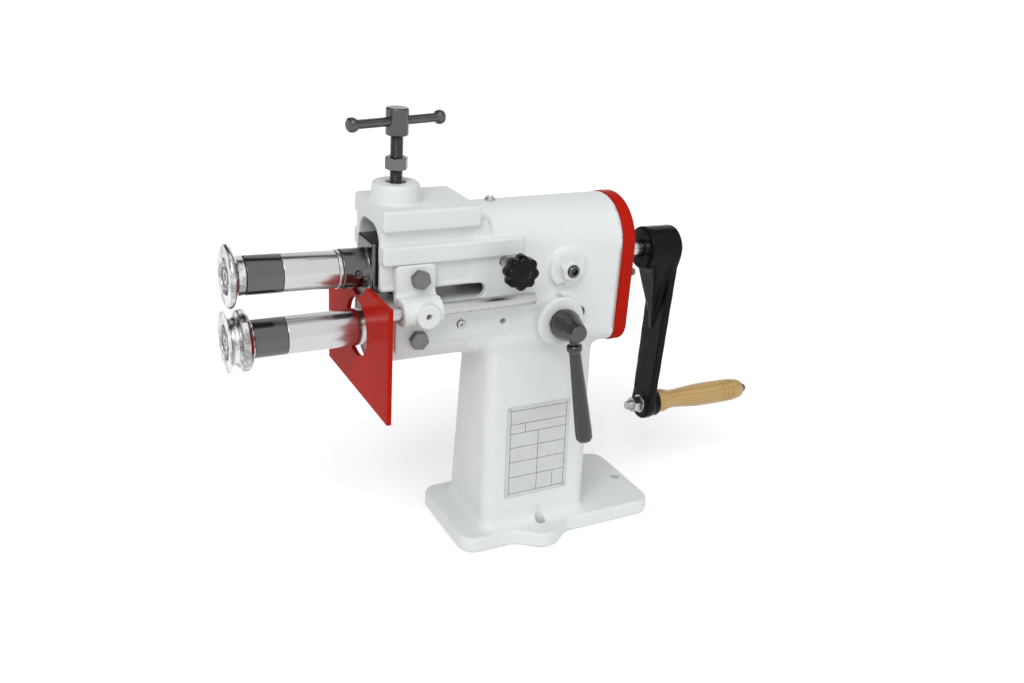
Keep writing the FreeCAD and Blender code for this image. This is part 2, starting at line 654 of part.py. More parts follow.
def upper_carrier():
    bush_r = d.carrier_bush_r
    rear = upper(d.carrier_rear)
    nose = rod("carrier_nose", 21.5, d.nose_end - d.upper_ring_end + 2,
               (upper(d.upper_ring_end) + d.apart, 0, 0))
    block = box("carrier_block", (upper(d.nose_end), -24, -23),
                (upper(d.carrier_block_end), 24, 33))
    block_round = rounded("carrier_block_round", block, 3, lambda edge: True)
    body = rod("carrier_tube", d.carrier_r, rear - upper(d.carrier_block_end),
               (upper(d.carrier_block_end) - 1, 0, 0))
    trunnion = rod("carrier_trunnion", 15, 58, (0, -29, 0), ALONG_Y)
    side_seat = box("carrier_side_seat", (upper(d.knob_x) - 14, -29, -12),
                    (upper(d.knob_x) + 14, 0, 22))
    solid = fuse("carrier_solid", [nose, block_round, body, trunnion, side_seat])
    way = rod("carrier_way", 15.5, 300, (upper(d.upper_ring_end) - 2, 0, 0))
    front_seat = rod("carrier_front_seat", bush_r, 46, (upper(d.upper_ring_end) - 2, 0, 0))
    rear_seat = rod("carrier_rear_seat", bush_r, 40, (rear - d.rear_bush_length - 1, 0, 0))
    pins = rod("carrier_pin_holes", 5 + d.running, 80, (0, -40, 0), ALONG_Y)
    thrust = rod("carrier_thrust_seat", 9, 6, (upper(d.screw_x), 0, 29), STRAIGHT)
    spring_seat = rod("carrier_spring_seat", 9, 12, (upper(d.screw_x), 0, -27), STRAIGHT)
    grub = rod("carrier_grub_hole", 3, 12, (upper(-253), -12, 0), TO_FRONT)
    tools = [way, front_seat, rear_seat, pins, thrust, spring_seat, grub]
    keep(on_upper(cut("upper_carrier", solid, tools)), "upper_carrier")
    grub_screw = rod("carrier_grub", 2.95, 2.2, (upper(-253), -19.1, 0), TO_FRONT)
    dimple = hexagon("carrier_grub_socket", as_size(3), 4, (upper(-253), -20, 0), TO_FRONT)
    keep(on_upper(cut("carrier_set_screw", grub_screw, [dimple])), "carrier_set_screw")
    ring = upper(d.upper_ring_end)
    front = [(ring + d.apart, d.bore_r + d.running),
             (ring + d.front_bush_length, d.bore_r + d.running),
             (ring + d.front_bush_length, bush_r), (ring + d.apart, bush_r)]
    keep(on_upper(turned("upper_front_bush_turned", front)), "upper_front_bush")
    back = [(rear - d.rear_bush_length, d.bore_r + d.running), (rear + 3, d.bore_r + d.running),
            (rear + 3, 22), (rear + d.apart, 22), (rear + d.apart, bush_r),
            (rear - d.rear_bush_length, bush_r)]
    keep(on_upper(turned("upper_rear_bush_turned", back)), "upper_rear_bush")
    button = [(29, 0), (29, 8.95), (34, 8.95), (35, 8), (35, 0)]
    body = turned("thrust_button_turned", button)
    pivot = V(float(d.pivot_x), 0, float(d.pivot_z))
    tilt = FreeCAD.Rotation(V(0, 1, 0), float(d.tilt))
    spot = pivot + tilt.multVec(V(float(upper(d.screw_x)), 0, 0))
    place(body, (spot.x, 0, spot.z), tilt.multiply(X_TO_Z))
    keep(body, "thrust_button")


def return_spring():
    """The spring that lifts the rocker: wire wound between the casting's floor and the carrier."""
    wire_r, coil_r, turns = float(d.spring_wire_r), float(d.spring_r), 5
    bottom = float(d.slot_bottom) + wire_r + 0.05
    height = float(d.spring_height)
    helix = Part.makeHelix(height / turns, height, coil_r)
    start = helix.Vertexes[0].Point
    section = Part.Wire([Part.Circle(start, V(0, 1, 0.12), wire_r).toShape()])
    shell = Part.Wire(helix.Edges).makePipeShell([section], True, True)
    spring = doc.addObject("Part::Feature", "return_spring")
    spring.Shape = shell
    spring.Placement = FreeCAD.Placement(V(float(d.screw_x), 0, bottom), STRAIGHT)
    keep(spring, "return_spring")


# Spindles

def roller_profile(station, front, hub_end):
    """Front face with its recess, ending at the bore; shared by both rollers."""
    nose = d.nose_r + d.running
    floor = station(front) + d.recess
    return [(station(hub_end), nose), (floor, nose), (floor, d.recess_r),
            (station(front) + 1, d.recess_r + 0.8)]


def roller_key_room(name, end):
    """The slot in a roller's bore for its key."""
    half = d.roller_key_width / 2 + d.running
    return box(name + "_roller_key_room", (end - d.roller_key - 1.5, -half, 0),
               (end + 1, half, d.nose_r + d.key_rise + d.key_room))


def roller_key(name, end):
    half = d.roller_key_width / 2
    return box(name + "_roller_key", (end - d.roller_key, -half, d.nose_r - half),
               (end, half, d.nose_r + d.key_rise))


def roller_keyway(name, end):
    half = d.roller_key_width / 2
    return box(name + "_roller_keyway", (end - d.roller_key, -half, d.nose_r - half),
               (end, half, d.nose_r + 1))


def upper_roller():
    """The male roller: a full-round bead on a plain hub."""
    s = upper
    x = d.bead_x
    r = d.roller_r
    w = d.bead_half
    front = x - w
    rim = [(s(front), r - 12), (s(front), r - 5)]
    for step in range(1, 8):
        angle = math.radians(180 - step * 22.5)
        rim.append((s(x) + w * math.cos(angle), r - w + w * math.sin(angle)))
    rim += [(s(x) + w, r - 7), (s(x) + w + 1.5, d.hub_r + 3), (s(x) + w + 4, d.hub_r),
            (s(d.upper_hub_end) - 1, d.hub_r), (s(d.upper_hub_end), d.hub_r - 1)]
    points = roller_profile(s, front, d.upper_hub_end) + rim
    keyway = roller_key_room("upper", s(d.upper_hub_end))
    keep(on_upper(cut("upper_roller", turned("upper_roller_turned", points), [keyway])),
         "upper_roller")


def lower_roller():
    """The female roller: a round groove between a thin flange and a wide one."""
    x = d.groove_x
    r = d.roller_r
    w = d.groove_half
    front = x - w - d.flange
    rim = [(front, r - 12), (front, r - 2), (front + 1, r - 0.4), (x - w + 0.2, r)]
    for step in range(9):
        angle = math.radians(180 + step * 22.5)
        rim.append((x + w * math.cos(angle), r - 1.2 + d.groove_deep * math.sin(angle)))
    back = d.lower_hub_end - 4
    rim += [(x + w + 1.4, r), (x + w + 6, r), (back, r - 3), (back, d.hub_r + 1),
            (d.lower_hub_end, d.hub_r)]
    points = roller_profile(lambda place_x: as_size(place_x), front, d.lower_hub_end) + rim
    keyway = roller_key_room("lower", d.lower_hub_end)
    roller = cut("lower_roller", turned("lower_roller_turned", points), [keyway])
    place(roller, (0, 0, d.lower_z))
    keep(roller, "lower_roller")


def roller_screw(name, front, shaft_end):
    """A domed cap screw with a washer face, which holds the roller on the spindle."""
    points = [(shaft_end + 16, 0), (shaft_end + 16, 4.95), (shaft_end, 4.95),
              (front + d.recess, 4.95), (front + d.recess, 14), (front + 6.5, 14), (front + 6.5, 8.5),
              (front + 1.5, 8.2), (front + 0.8, 7.2), (front + 0.8, 0)]
    return turned(name, points)


def upper_spindle():
    s = upper
    front = s(d.bead_x - d.bead_half)
    nose_x = front + d.recess + d.apart
    points = [(nose_x, 0), (nose_x, d.nose_r), (s(d.upper_hub_end), d.nose_r),
              (s(d.upper_hub_end), d.bore_r), (s(d.gear_x) - 5, d.bore_r),
              (s(d.gear_x) - 5, d.gear_bore_r), (s(d.gear_x + d.gear_width) + 3, d.gear_bore_r),
              (s(d.gear_x + d.gear_width) + 3, d.crank_shaft_r),
              (s(d.crank_plate_x + d.crank_plate), d.crank_shaft_r),
              (s(d.crank_plate_x + d.crank_plate), 0)]
    shaft = turned("upper_shaft_turned", points)
    keyways = [roller_keyway("upper", s(d.upper_hub_end)),
               box("upper_gear_keyway", (s(d.gear_x) + 2, -3, 8.5),
                   (s(d.gear_x + d.gear_width) - 2, 3, 13)),
               box("crank_keyway", (s(d.crank_hub_x) + 4, -2.5, 7),
                   (s(d.crank_hub_x) + 36, 2.5, 11))]
    hole = rod("upper_screw_hole", 5, 20, (nose_x - 1, 0, 0))
    keep(on_upper(cut("upper_shaft", shaft, keyways + [hole])), "upper_shaft")
    screw = roller_screw("upper_roller_screw_turned", front, nose_x)
    socket = hexagon("upper_screw_socket", as_size(8), 6, (front, 0, 0), ALONG_X)
    keep(on_upper(cut("upper_roller_screw", screw, [socket])), "upper_roller_screw")
    rings = (("upper_black_sleeve", d.upper_hub_end, d.upper_sleeve_end, d.hub_r),
             ("upper_spacer_tube", d.upper_sleeve_end, d.upper_tube_end, d.hub_r - 0.2),
             ("upper_end_ring", d.upper_tube_end, d.upper_ring_end, d.hub_r + 0.5))
    for name, start, end, radius in rings:
        piece = tube(name + "_turned", radius, d.bore_r, s(start), s(end))
        keep(on_upper(piece), name)
    keys = [roller_key("upper", s(d.upper_hub_end)),
            box("upper_gear_key", (s(d.gear_x) + 2, -3, 8.5),
                (s(d.gear_x + d.gear_width) - 2, 3, d.gear_bore_r + d.key_rise)),
            box("crank_key", (s(d.crank_hub_x) + 4, -2.5, 7), (s(d.crank_hub_x) + 36, 2.5, 10))]
    keep(on_upper(group("upper_shaft_keys", keys)), "upper_shaft_keys")


def gear(label, x, phase, finish):
    """A spur gear with its hub bore, made as a disc and one tooth that repeats."""
    pitch_r = d.gear_module * d.gear_teeth / 2
    root = pitch_r - d.gear_module * 1.25
    tip = pitch_r + d.gear_module
    body = doc.addObject("PartDesign::Body", label + "_body")
    disc = sketch_on(body, "YZ_Plane", label + "_disc")
    bind_offset(disc, x)
    circle = disc.addGeometry(Part.Circle(V(0, 0, 0), V(0, 0, 1), float(root)), False)
    disc.addConstraint(Sketcher.Constraint("Coincident", circle, 3, -1, 1))
    size = disc.addConstraint(Sketcher.Constraint("Radius", circle, float(root)))
    disc.setExpression("Constraints[%d]" % size, root.text)
    pad = body.newObject("PartDesign::Pad", label + "_disc_pad")
    pad.Profile = disc
    bind(pad, "Length", d.gear_width)
    tooth = sketch_on(body, "YZ_Plane", label + "_tooth")
    bind_offset(tooth, x)
    flank = [(root - 1.5, 2.1), (pitch_r - 1.8, 2.1), (pitch_r, 1.82), (tip - 1.1, 1.3),
             (tip, 0.72)]
    outline(tooth, flank + [(along, -half) for along, half in reversed(flank)])
    tooth_pad = body.newObject("PartDesign::Pad", label + "_tooth_pad")
    tooth_pad.Profile = tooth
    bind(tooth_pad, "Length", d.gear_width)
    doc.recompute()
    ring = body.newObject("PartDesign::PolarPattern", label + "_teeth")
    ring.Originals = [tooth_pad]
    ring.Axis = (tooth, ["N_Axis"])
    ring.Angle = 360
    ring.Occurrences = int(float(d.gear_teeth))
    body.Tip = ring
    doc.recompute()
    place(body, (0, 0, 0), FreeCAD.Rotation(V(1, 0, 0), phase))
    bore = rod(label + "_bore", d.gear_bore_r, d.gear_width + 10, (as_size(x) - 5, 0, 0))
    keyway = box(label + "_key_room", (as_size(x) - 5, -3.05, 0),
                 (x + d.gear_width + 5, 3.05, d.gear_bore_r + d.key_rise + d.key_room))
    return keep(finish(cut(label + "_cut", body, [bore, keyway])), label)


def gears():
    gear("upper_gear", upper(d.gear_x), 0, on_upper)
    half_tooth = 180 / float(d.gear_teeth)

    def on_lower(obj):
        place(obj, (0, 0, d.lower_z))
        return obj

    gear("lower_gear", d.gear_x, half_tooth, on_lower)


def lower_spindle():
    at = (0, 0, d.lower_z)
    front = d.groove_x - d.groove_half - d.flange
    nose_x = front + d.recess + d.apart
    room = d.ring_half + 0.2
    ring_left, ring_right = d.lever_x - room, d.lever_x + room
    points = [(nose_x, 0), (nose_x, d.nose_r), (d.lower_hub_end, d.nose_r),
              (d.lower_hub_end, d.bore_r), (d.lower_tube_end, d.bore_r),
              (d.lower_tube_end, d.hub_r), (-60, d.hub_r), (-60, d.collar_r),
              (ring_left, d.collar_r), (ring_left, d.bore_r), (ring_right, d.bore_r),
              (ring_right, d.collar_r), (-9, d.collar_r), (-9, d.bore_r), (d.gear_x - 1, d.bore_r),
              (d.gear_x - 1, d.gear_bore_r), (d.gear_x + d.gear_width, d.gear_bore_r),
              (d.gear_x + d.gear_width, 10),
              (d.gear_x + d.gear_width + 13, 10), (d.gear_x + d.gear_width + 14, 9),
              (d.gear_x + d.gear_width + 14, 0)]
    shaft = turned("lower_shaft_turned", points)
    keyways = [roller_keyway("lower", d.lower_hub_end),
               box("lower_gear_keyway", (d.gear_x + 2, -3, 8.5),
                   (d.gear_x + d.gear_width - 2, 3, 13))]
    hole = rod("lower_screw_hole", 5, 20, (nose_x - 1, 0, 0))
    shaft_cut = cut("lower_shaft", shaft, keyways + [hole])
    place(shaft_cut, at)
    keep(shaft_cut, "lower_shaft")
    screw = roller_screw("lower_roller_screw_turned", front, nose_x)
    socket = hexagon("lower_screw_socket", as_size(8), 6, (front, 0, 0), ALONG_X)
    screw_cut = cut("lower_roller_screw", screw, [socket])
    place(screw_cut, at)
    keep(screw_cut, "lower_roller_screw")
    keep(tube("lower_black_sleeve_turned", d.hub_r, d.bore_r, d.lower_hub_end,
              d.lower_sleeve_end, at), "lower_black_sleeve")
    keep(tube("lower_spacer_tube_turned", d.hub_r, d.bore_r, d.lower_sleeve_end,
              d.lower_tube_end, at), "lower_spacer_tube")
    keys = group("lower_shaft_keys",
                 [roller_key("lower", d.lower_hub_end),
                  box("lower_gear_key", (d.gear_x + 2, -3, 8.5),
                      (d.gear_x + d.gear_width - 2, 3, d.gear_bore_r + d.key_rise))])
    place(keys, at)
    keep(keys, "lower_shaft_keys")
    nut_x = d.gear_x + d.gear_width
    nut = hexagon("lower_nut_prism", as_size(28), 9, (nut_x, 0, d.lower_z), ALONG_X)
    hole = rod("lower_nut_bore", 10, 20, (nut_x - 5, 0, d.lower_z))
    keep(cut("lower_shaft_nut", nut, [hole]), "lower_shaft_nut")


def shift_ring():
    """A ring in two halves that rides between the lower shaft's shoulders without turning."""
    half = d.ring_half
    inner = d.bore_r + d.running
    ring = tube("shift_ring_turned", as_size(27), inner, d.lever_x - half, d.lever_x + half,
                (0, 0, d.lower_z))
    groove = box("shift_ring_slot", (d.lever_x - 4.2, -40, d.lower_z - 5),
                 (d.lever_x + 4.2, -18, d.lower_z + 12))
    solid = cut("shift_ring_cut", ring, [groove])
    halves = []
    for name, low, high in (("low", -40, -0.1), ("high", 0.1, 40)):
        room = box("shift_room_" + name, (d.lever_x - 20, -40, d.lower_z + low),
                   (d.lever_x + 20, 40, d.lower_z + high))
        half_ring = doc.addObject("Part::Common", "shift_ring_" + name)
        half_ring.Base = solid
        half_ring.Tool = room
        halves.append(half_ring)
    keep(group("shift_ring", halves), "shift_ring")


# Crank and grip

def crank_arm():
    s = upper
    shaft_r = d.crank_shaft_r
    left, face, thick = s(d.crank_hub_x), s(d.crank_plate_x), d.crank_plate
    top, bottom = d.crank_top_r, d.crank_end_r
    hub = rod("crank_hub", d.crank_hub_r, face - left + thick, (left, 0, 0))
    top_round = rod("crank_top", top, thick, (face, 0, 0))
    end_round = rod("crank_end", bottom, thick, (face, 0, -d.crank_r))
    end_boss = rod("crank_end_boss", d.crank_boss_r, thick + d.crank_boss,
                   (face, 0, -d.crank_r))
    slope = float(top - bottom) / float(d.crank_r)
    wide = math.cos(math.asin(slope))
    points = [(-top * wide, top * slope), (top * wide, top * slope),
              (bottom * wide, -d.crank_r + bottom * slope),
              (-bottom * wide, -d.crank_r + bottom * slope)]
    web = padded_plate("crank_web", "YZ_Plane", points, face, thick)
    gusset = padded_plate("crank_gusset", "XZ_Plane",
                          [(left + 9, -d.gusset_high), (face + 1, -d.gusset_high),
                           (face + 1, -d.gusset_low)], -d.gusset_wide / 2, d.gusset_wide)
    solid = fuse("crank_solid", [hub, top_round, end_round, end_boss, web, gusset])
    tools = [rod("crank_bore", shaft_r, 80, (left - 10, 0, 0)),
             rod("handle_bore", 6, 60, (face - 20, 0, -d.crank_r)),
             box("crank_key_room", (left + 3, -2.5, 7), (left + 36, 2.5, 10.2))]
    keep(on_upper(cut("crank_arm", solid, tools)), "crank_arm")


def handle():
    """Bolt, nut and washer at the crank's end, and the grip that turns on the bolt."""
    s = upper
    face = s(d.crank_plate_x)
    outer = s(d.crank_plate_x + d.crank_plate + d.crank_boss)
    grip = d.grip_length
    axis = -d.crank_r

    def hang(obj):
        turn = FreeCAD.Rotation(V(0, 1, 0), float(d.tilt))
        spot = V(float(d.pivot_x), 0, float(d.pivot_z)) + turn.multVec(V(0, 0, float(axis)))
        place(obj, (spot.x, 0, spot.z), turn)
        return obj

    tip = outer + grip
    bolt = [(face - 22, 0), (face - 22, 4.8), (face - 21, 5.95), (outer, 5.95),
            (outer, d.grip_bolt_r), (tip - 7.4, d.grip_bolt_r), (tip - 7.4, 6.8), (tip - 4, 6.6),
            (tip - 3.4, 5), (tip - 0.8, 4.8), (tip, 3.8), (tip, 0)]
    keep(hang(turned("handle_bolt_turned", bolt)), "handle_bolt")
    washer = tube("handle_washer_turned", as_size(12), as_size(6), face - 2, face)
    keep(hang(washer), "handle_washer")
    nut = hex_head("handle_nut_head", as_size(19), 12, (face - 2, 0, 0), X_TO_Z)
    bore = rod("handle_nut_bore", 6, 30, (face - 20, 0, 0))
    keep(hang(cut("handle_nut", nut, [bore])), "handle_nut")
    start = outer + 0.4
    inner = d.grip_bolt_r + d.running
    body = [(0, 13), (5, 15), (10, 15.5), (16, 14.2), (26, 12.3), (40, 13), (60, 15.2),
            (80, 16), (100, 16), (120, 15.2), (136, 14), (grip - 11, 12)]
    points = [(start, inner), (start + grip - 11, inner)]
    points += [(start + along, radius) for along, radius in reversed(body)]
    keep(hang(turned("grip_turned", points)), "wooden_grip")
    cap_x = start + grip - 10.6
    cap = [(cap_x, inner), (cap_x + 2.6, inner), (cap_x + 2.6, 7), (cap_x + 1.6, 8.5),
           (cap_x, 9)]
    keep(hang(turned("grip_cap_turned", cap)), "grip_end_cap")


# Pressure screw

def pressure_screw():
    x = d.screw_x
    foot_z = d.screw_foot_z
    foot = [(0, 0), (0, 6), (1, 6.6), (4, 6.6), (4, 0)]
    keep(turned("thrust_foot_turned", foot, (x, 0, foot_z), X_TO_Z), "thrust_foot")
    keep(rod("screw_stem", d.screw_r, d.head_bottom - foot_z, (x, 0, foot_z + 4.05), STRAIGHT),
         "adjusting_screw")
    tall = d.head_top - d.head_bottom
    seat = 4.1
    points = [(0, d.screw_r + 0.05), (seat, d.screw_r + 0.05), (seat, 0), (tall, 0),
              (tall, d.head_r - 1.5), (tall - 1.5, d.head_r), (1.5, d.head_r),
              (0, d.head_r - 1)]
    head = turned("screw_head_turned", points, (x, 0, d.head_bottom), X_TO_Z)
    turn = FreeCAD.Rotation(V(0, 0, 1), float(d.bar_turn))
    way = rod("bar_way", d.bar_r + d.running, 60, (0, 0, 0), ALONG_X)
    way.Placement = FreeCAD.Placement(V(float(x), 0, float(d.bar_z)), turn).multiply(
        FreeCAD.Placement(V(-30, 0, 0), ALONG_X))
    keep(cut("screw_head", head, [way]), "screw_head")
    half = d.bar_length / 2
    r = d.bar_r
    end = [(half - 10, r), (half - 8.5, r + 2), (half - 5, r + 3), (half - 2, r + 2.6),
           (half, r), (half, 0)]
    mirrored = [(-along, radius) for along, radius in reversed(end)]
    bar = turned("t_bar_turned", mirrored + end, (x, 0, d.bar_z), turn)
    keep(bar, "t_bar")
    nut = hexagon("lock_nut_prism", d.nut_flats, d.nut_height, (x, 0, d.nut_bottom))
    ends = doc.addObject("Part::Common", "lock_nut_turned")
    ends.Base = nut
    rim = d.nut_flats / 2
    form = [(0, 0), (0, rim), (1.2, rim + 1.8), (d.nut_height - 1.2, rim + 1.8),
            (d.nut_height, rim), (d.nut_height, 0)]
    ends.Tool = turned("lock_nut_form", form, (x, 0, d.nut_bottom), X_TO_Z)
    bore = rod("lock_nut_bore", d.screw_r + d.running, 40, (x, 0, d.nut_bottom - 5), STRAIGHT)
    keep(cut("lock_nut", ends, [bore]), "lock_nut")


# Shift lever

def shift_lever():
    at = (d.lever_x, 0, d.lower_z)
    shaft = turned("eccentric_turned", [(28.5, 0), (28.5, d.lever_shaft_r), (65.5, d.lever_shaft_r),
                                        (65.5, 8), (82, 8), (82, 0)], at, X_TO_FRONT)
    pin = rod("eccentric_pin", 4, 10, (d.lever_x, -19, d.lower_z + d.eccentric), TO_FRONT)
    keep(fuse("eccentric_shaft", [shaft, pin]), "eccentric_shaft")
    hub = [(66, 8.05), (66, d.lever_hub_r - 1), (67.5, d.lever_hub_r), (73, d.lever_hub_r - 0.4),
           (98, d.lever_tip_r), (100, d.lever_tip_r - 1.2), (100, 0), (82.2, 0), (82.2, 8.05)]
    hub_body = turned("lever_hub_turned", hub, at, X_TO_FRONT)
    rod_turn = lever_direction()
    seat = rod("lever_seat", 5, 30, (0, 0, 0))
    seat.Placement = FreeCAD.Placement(lever_root(), rod_turn).multiply(
        FreeCAD.Placement(V(8.2, 0, 0), ALONG_X))
    keep(cut("lever_hub", hub_body, [seat]), "lever_hub")
    grip = [(8.5, 0), (8.5, 4.95), (21, 4.95), (21.2, 9), (26, 9), (28, 7), (32, 7),
            (124, 10.2), (134, 10), (137.5, 8), (138.5, 5), (138.5, 0)]
    lever = turned("lever_rod_turned", grip)
    lever.Placement = FreeCAD.Placement(lever_root(), rod_turn)
    keep(lever, "lever_rod")


def lever_root():
    return V(float(d.lever_x), -84, float(d.lower_z))


def lever_direction():
    """The lever hangs down, a little outwards and a little towards the crank."""
    aim = V(18, -20, -133)
    return FreeCAD.Rotation(V(1, 0, 0), aim)


# Fence

def fence():
    half, low, high = d.fence_width / 2, d.fence_bottom, d.fence_top
    x = d.fence_x
    plate = padded_plate("fence_sheet", "YZ_Plane",
                         [(-half, low), (half, low), (half, high), (-half, high)], x,
                         d.fence_thick)
    tools = [rod("fence_hole", d.fence_hole_r, 20, (x - 5, 0, d.lower_z)),
             rod("fence_notch", d.fence_hole_r, 20, (x - 5, 0, d.fence_notch_z)),
             rod("fence_rod_hole", 5, 20, (x - 5, d.rod_y, d.rod_z))]
    keep(cut("fence_plate", plate, tools), "fence_plate")
    back = x + d.fence_thick
    points = [(x + 0.2, 0), (x + 0.2, 4.95), (back, 4.95), (back, d.rod_r),
              (d.rod_end - 1, d.rod_r), (d.rod_end, d.rod_r - 1), (d.rod_end, 0)]
    keep(turned("guide_rod_turned", points, (0, d.rod_y, d.rod_z)), "guide_rod")


# Clamp knob

def clamp_knob():
    at = (d.knob_x, 0, d.knob_z)
    stud = turned("knob_stud_turned", [(30, 0), (30, 4), (31, d.stud_r), (76, d.stud_r),
                                        (76, 0)], at,
                  X_TO_FRONT)
    keep(stud, "knob_stud")
    thick = d.knob_thick
    back = d.knob_back
    face = back + thick
    seat = d.stud_r + d.running
    core = turned("knob_core", [(58, seat), (58, 8.5), (back, 8.5), (back, 15.5),
                                (back + 1.5, 16.5), (face - 1.5, 16.5), (face, 15), (face, 8.5),
                                (face + 2, 7.2), (face + 2.2, 0), (76.2, 0), (76.2, seat)],
                  at, X_TO_FRONT)
    lobes = []
    count = int(float(d.knob_lobes))
    for n in range(count):
        angle = math.radians(360 / count * n + 10)
        reach = d.knob_r - d.knob_lobe_r
        spot = (d.knob_x + reach * math.cos(angle), -back, d.knob_z + reach * math.sin(angle))
        lobe = rod("knob_lobe_%d" % n, d.knob_lobe_r, thick, spot, TO_FRONT)
        lobes.append(rounded("knob_lobe_round_%d" % n, lobe, 1.4, lambda edge: True))
    keep(fuse("star_knob", [core] + lobes), "star_knob")


def check_and_export():
    doc.recompute()
    for obj in doc.Objects:
        if "Invalid" in obj.State or "Error" in obj.State:
            raise RuntimeError("%s failed: %s" % (obj.Label, obj.State))
    for obj in PIECES:
        if obj.Shape.isNull() or not obj.Shape.isValid():
            raise RuntimeError("%s has no valid shape" % obj.Label)
    for obj in PIECES:
        obj.Shape.exportStep("parts/%s.step" % obj.Label)
        print("%-22s %2d solids %12.1f mm3" % (obj.Label, len(obj.Shape.Solids),
                                               obj.Shape.Volume))
    print(len(PIECES), "sub-parts")


for build in (body_casting, gear_cover, cover_screws, guide_bracket, bracket_bolts,
              pivot_screws_and_nuts, small_fittings, rating_plate, lower_bushes, upper_carrier,
              return_spring, upper_roller, lower_roller, upper_spindle, gears, lower_spindle,
              shift_ring, crank_arm, handle, pressure_screw, shift_lever, fence, clamp_knob):
    build()
check_and_export()
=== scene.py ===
import math
from functools import partial

import bmesh
import bpy
import numpy as np
import openvdb
from bpy.props import FloatProperty, FloatVectorProperty, PointerProperty
from mathutils import Matrix, Vector


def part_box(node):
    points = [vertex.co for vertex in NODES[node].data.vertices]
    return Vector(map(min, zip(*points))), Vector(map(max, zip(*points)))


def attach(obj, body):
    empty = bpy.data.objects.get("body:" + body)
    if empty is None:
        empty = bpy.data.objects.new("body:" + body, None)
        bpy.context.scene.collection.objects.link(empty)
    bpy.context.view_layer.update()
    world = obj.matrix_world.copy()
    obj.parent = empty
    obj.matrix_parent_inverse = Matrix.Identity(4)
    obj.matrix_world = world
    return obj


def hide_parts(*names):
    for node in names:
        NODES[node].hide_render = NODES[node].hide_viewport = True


bl_info = {
    "name": "Bead roller",
    "version": (1, 0, 0),
    "blender": (4, 5, 0),
    "location": "View3D > Sidebar > Bead roller",
    "description": "Dresses a hand cranked bench bead roller",
    "category": "Object",
}

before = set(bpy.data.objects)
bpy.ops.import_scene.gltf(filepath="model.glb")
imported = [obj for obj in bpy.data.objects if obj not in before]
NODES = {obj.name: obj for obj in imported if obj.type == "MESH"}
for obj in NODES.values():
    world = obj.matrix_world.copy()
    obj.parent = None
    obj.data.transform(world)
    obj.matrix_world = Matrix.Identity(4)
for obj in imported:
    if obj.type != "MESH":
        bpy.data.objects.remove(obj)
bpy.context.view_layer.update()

# Places and sizes below are in millimetres, in the frame's axes, and become metres in mesh().
MM = 0.001
LOWER_Z = 285
PIVOT = Vector((-15, 0, 347))
TILT = math.radians(1.45)
UPPER = Matrix.Translation(PIVOT) @ Matrix.Rotation(TILT, 4, "Y")
LOWER = Matrix.Translation((0, 0, LOWER_Z))
LEVER_X = -22
SCREW_X = -205
ROD_Y, ROD_Z = -60, 319
KNOB_X, KNOB_Z = -91, 358.5
OILER_X = -93
PAD_SCREW = (-142, 291.5)
BRACKET_X = (-221, -176)
BRACKET_BOLT_X = -195
CRANK_REACH = 218
CRANK_PLATE_X = 154
CRANK_PLATE = 11
CRANK_BOSS = 12
GRIP_LENGTH = 155
HOUSE_REAR = 56
COVER_FACE = 74
ROUND = 96


def at(x, y, z):
    return Matrix.Translation((x, y, z))


def turn(degrees, axis):
    return Matrix.Rotation(math.radians(degrees), 4, axis)


# Turns that carry a piece made along +X to stand along -Y or +Z.
TO_FRONT = turn(-90, "Z")
UPRIGHT = turn(-90, "Y")


def upper(station):
    """A place along the upper spindle, counted from the pivot."""
    return station - PIVOT.x


# Colours and sizes that a user would change

def colour(name, text, default):
    return FloatVectorProperty(name=name, description=text, subtype="COLOR", size=3,
                               min=0, max=1, default=default)


def length(name, text, default):
    return FloatProperty(name=name, description=text, subtype="DISTANCE", unit="LENGTH",
                         min=0, default=default)


class BeadRollerColours(bpy.types.PropertyGroup):
    casting: colour("Casting", "Off-white enamel on the casting", (0.705, 0.732, 0.738))
    red: colour("Red", "Red enamel on the cover and fence", (0.42, 0.013, 0.006))
    black: colour("Black", "Black enamel on the crank and lever", (0.005, 0.0055, 0.0055))
    blackened: colour("Blackened steel", "Oil-blackened steel", (0.135, 0.135, 0.138))
    steel: colour("Ground steel", "Ground and turned steel", (0.66, 0.66, 0.665))
    polished: colour("Rollers", "Polished roller steel", (0.80, 0.80, 0.81))
    wood: colour("Grip", "Varnished wooden grip", (0.46, 0.30, 0.10))
    knob: colour("Knob", "Moulded black knob", (0.007, 0.007, 0.0075))
    plate: colour("Plate", "Rating plate", (0.66, 0.68, 0.68))


class BeadRollerSizes(bpy.types.PropertyGroup):
    casting_step: length("Casting detail", "Spacing of the points that shape the casting", 0.0016)
    crank_step: length("Crank detail", "Spacing of the points that shape the crank", 0.0012)
    foot_fillet: length("Foot fillet", "Sweep of the column into the base", 0.013)
    arm_fillet: length("Arm fillet", "Sweep of the column into the arm", 0.010)
    enamel_bump: length("Enamel bump", "Height of the enamel's orange peel", 0.00012)


# Materials

def node_material(name):
    material = bpy.data.materials.new(name)
    material.use_nodes = True
    tree = material.node_tree
    shader = tree.nodes["Principled BSDF"]
    return material, tree, shader


def add(tree, kind, inputs=(), **settings):
    node = tree.nodes.new(kind)
    for key, value in settings.items():
        setattr(node, key, value)
    for key, value in inputs:
        if isinstance(value, bpy.types.NodeSocket):
            tree.links.new(value, node.inputs[key])
        else:
            node.inputs[key].default_value = value
    return node


def place_of(tree, stretch=(1, 1, 1)):
    """Coordinates in the piece's own metres, stretched along each axis."""
    where = add(tree, "ShaderNodeTexCoord")
    return add(tree, "ShaderNodeMapping", [("Vector", where.outputs["Object"]),
                                           ("Scale", stretch)]).outputs["Vector"]


def noise(tree, where, scale, detail=3.0, rough=0.55):
    return add(tree, "ShaderNodeTexNoise", [("Vector", where), ("Scale", scale),
                                            ("Detail", detail), ("Roughness", rough)])


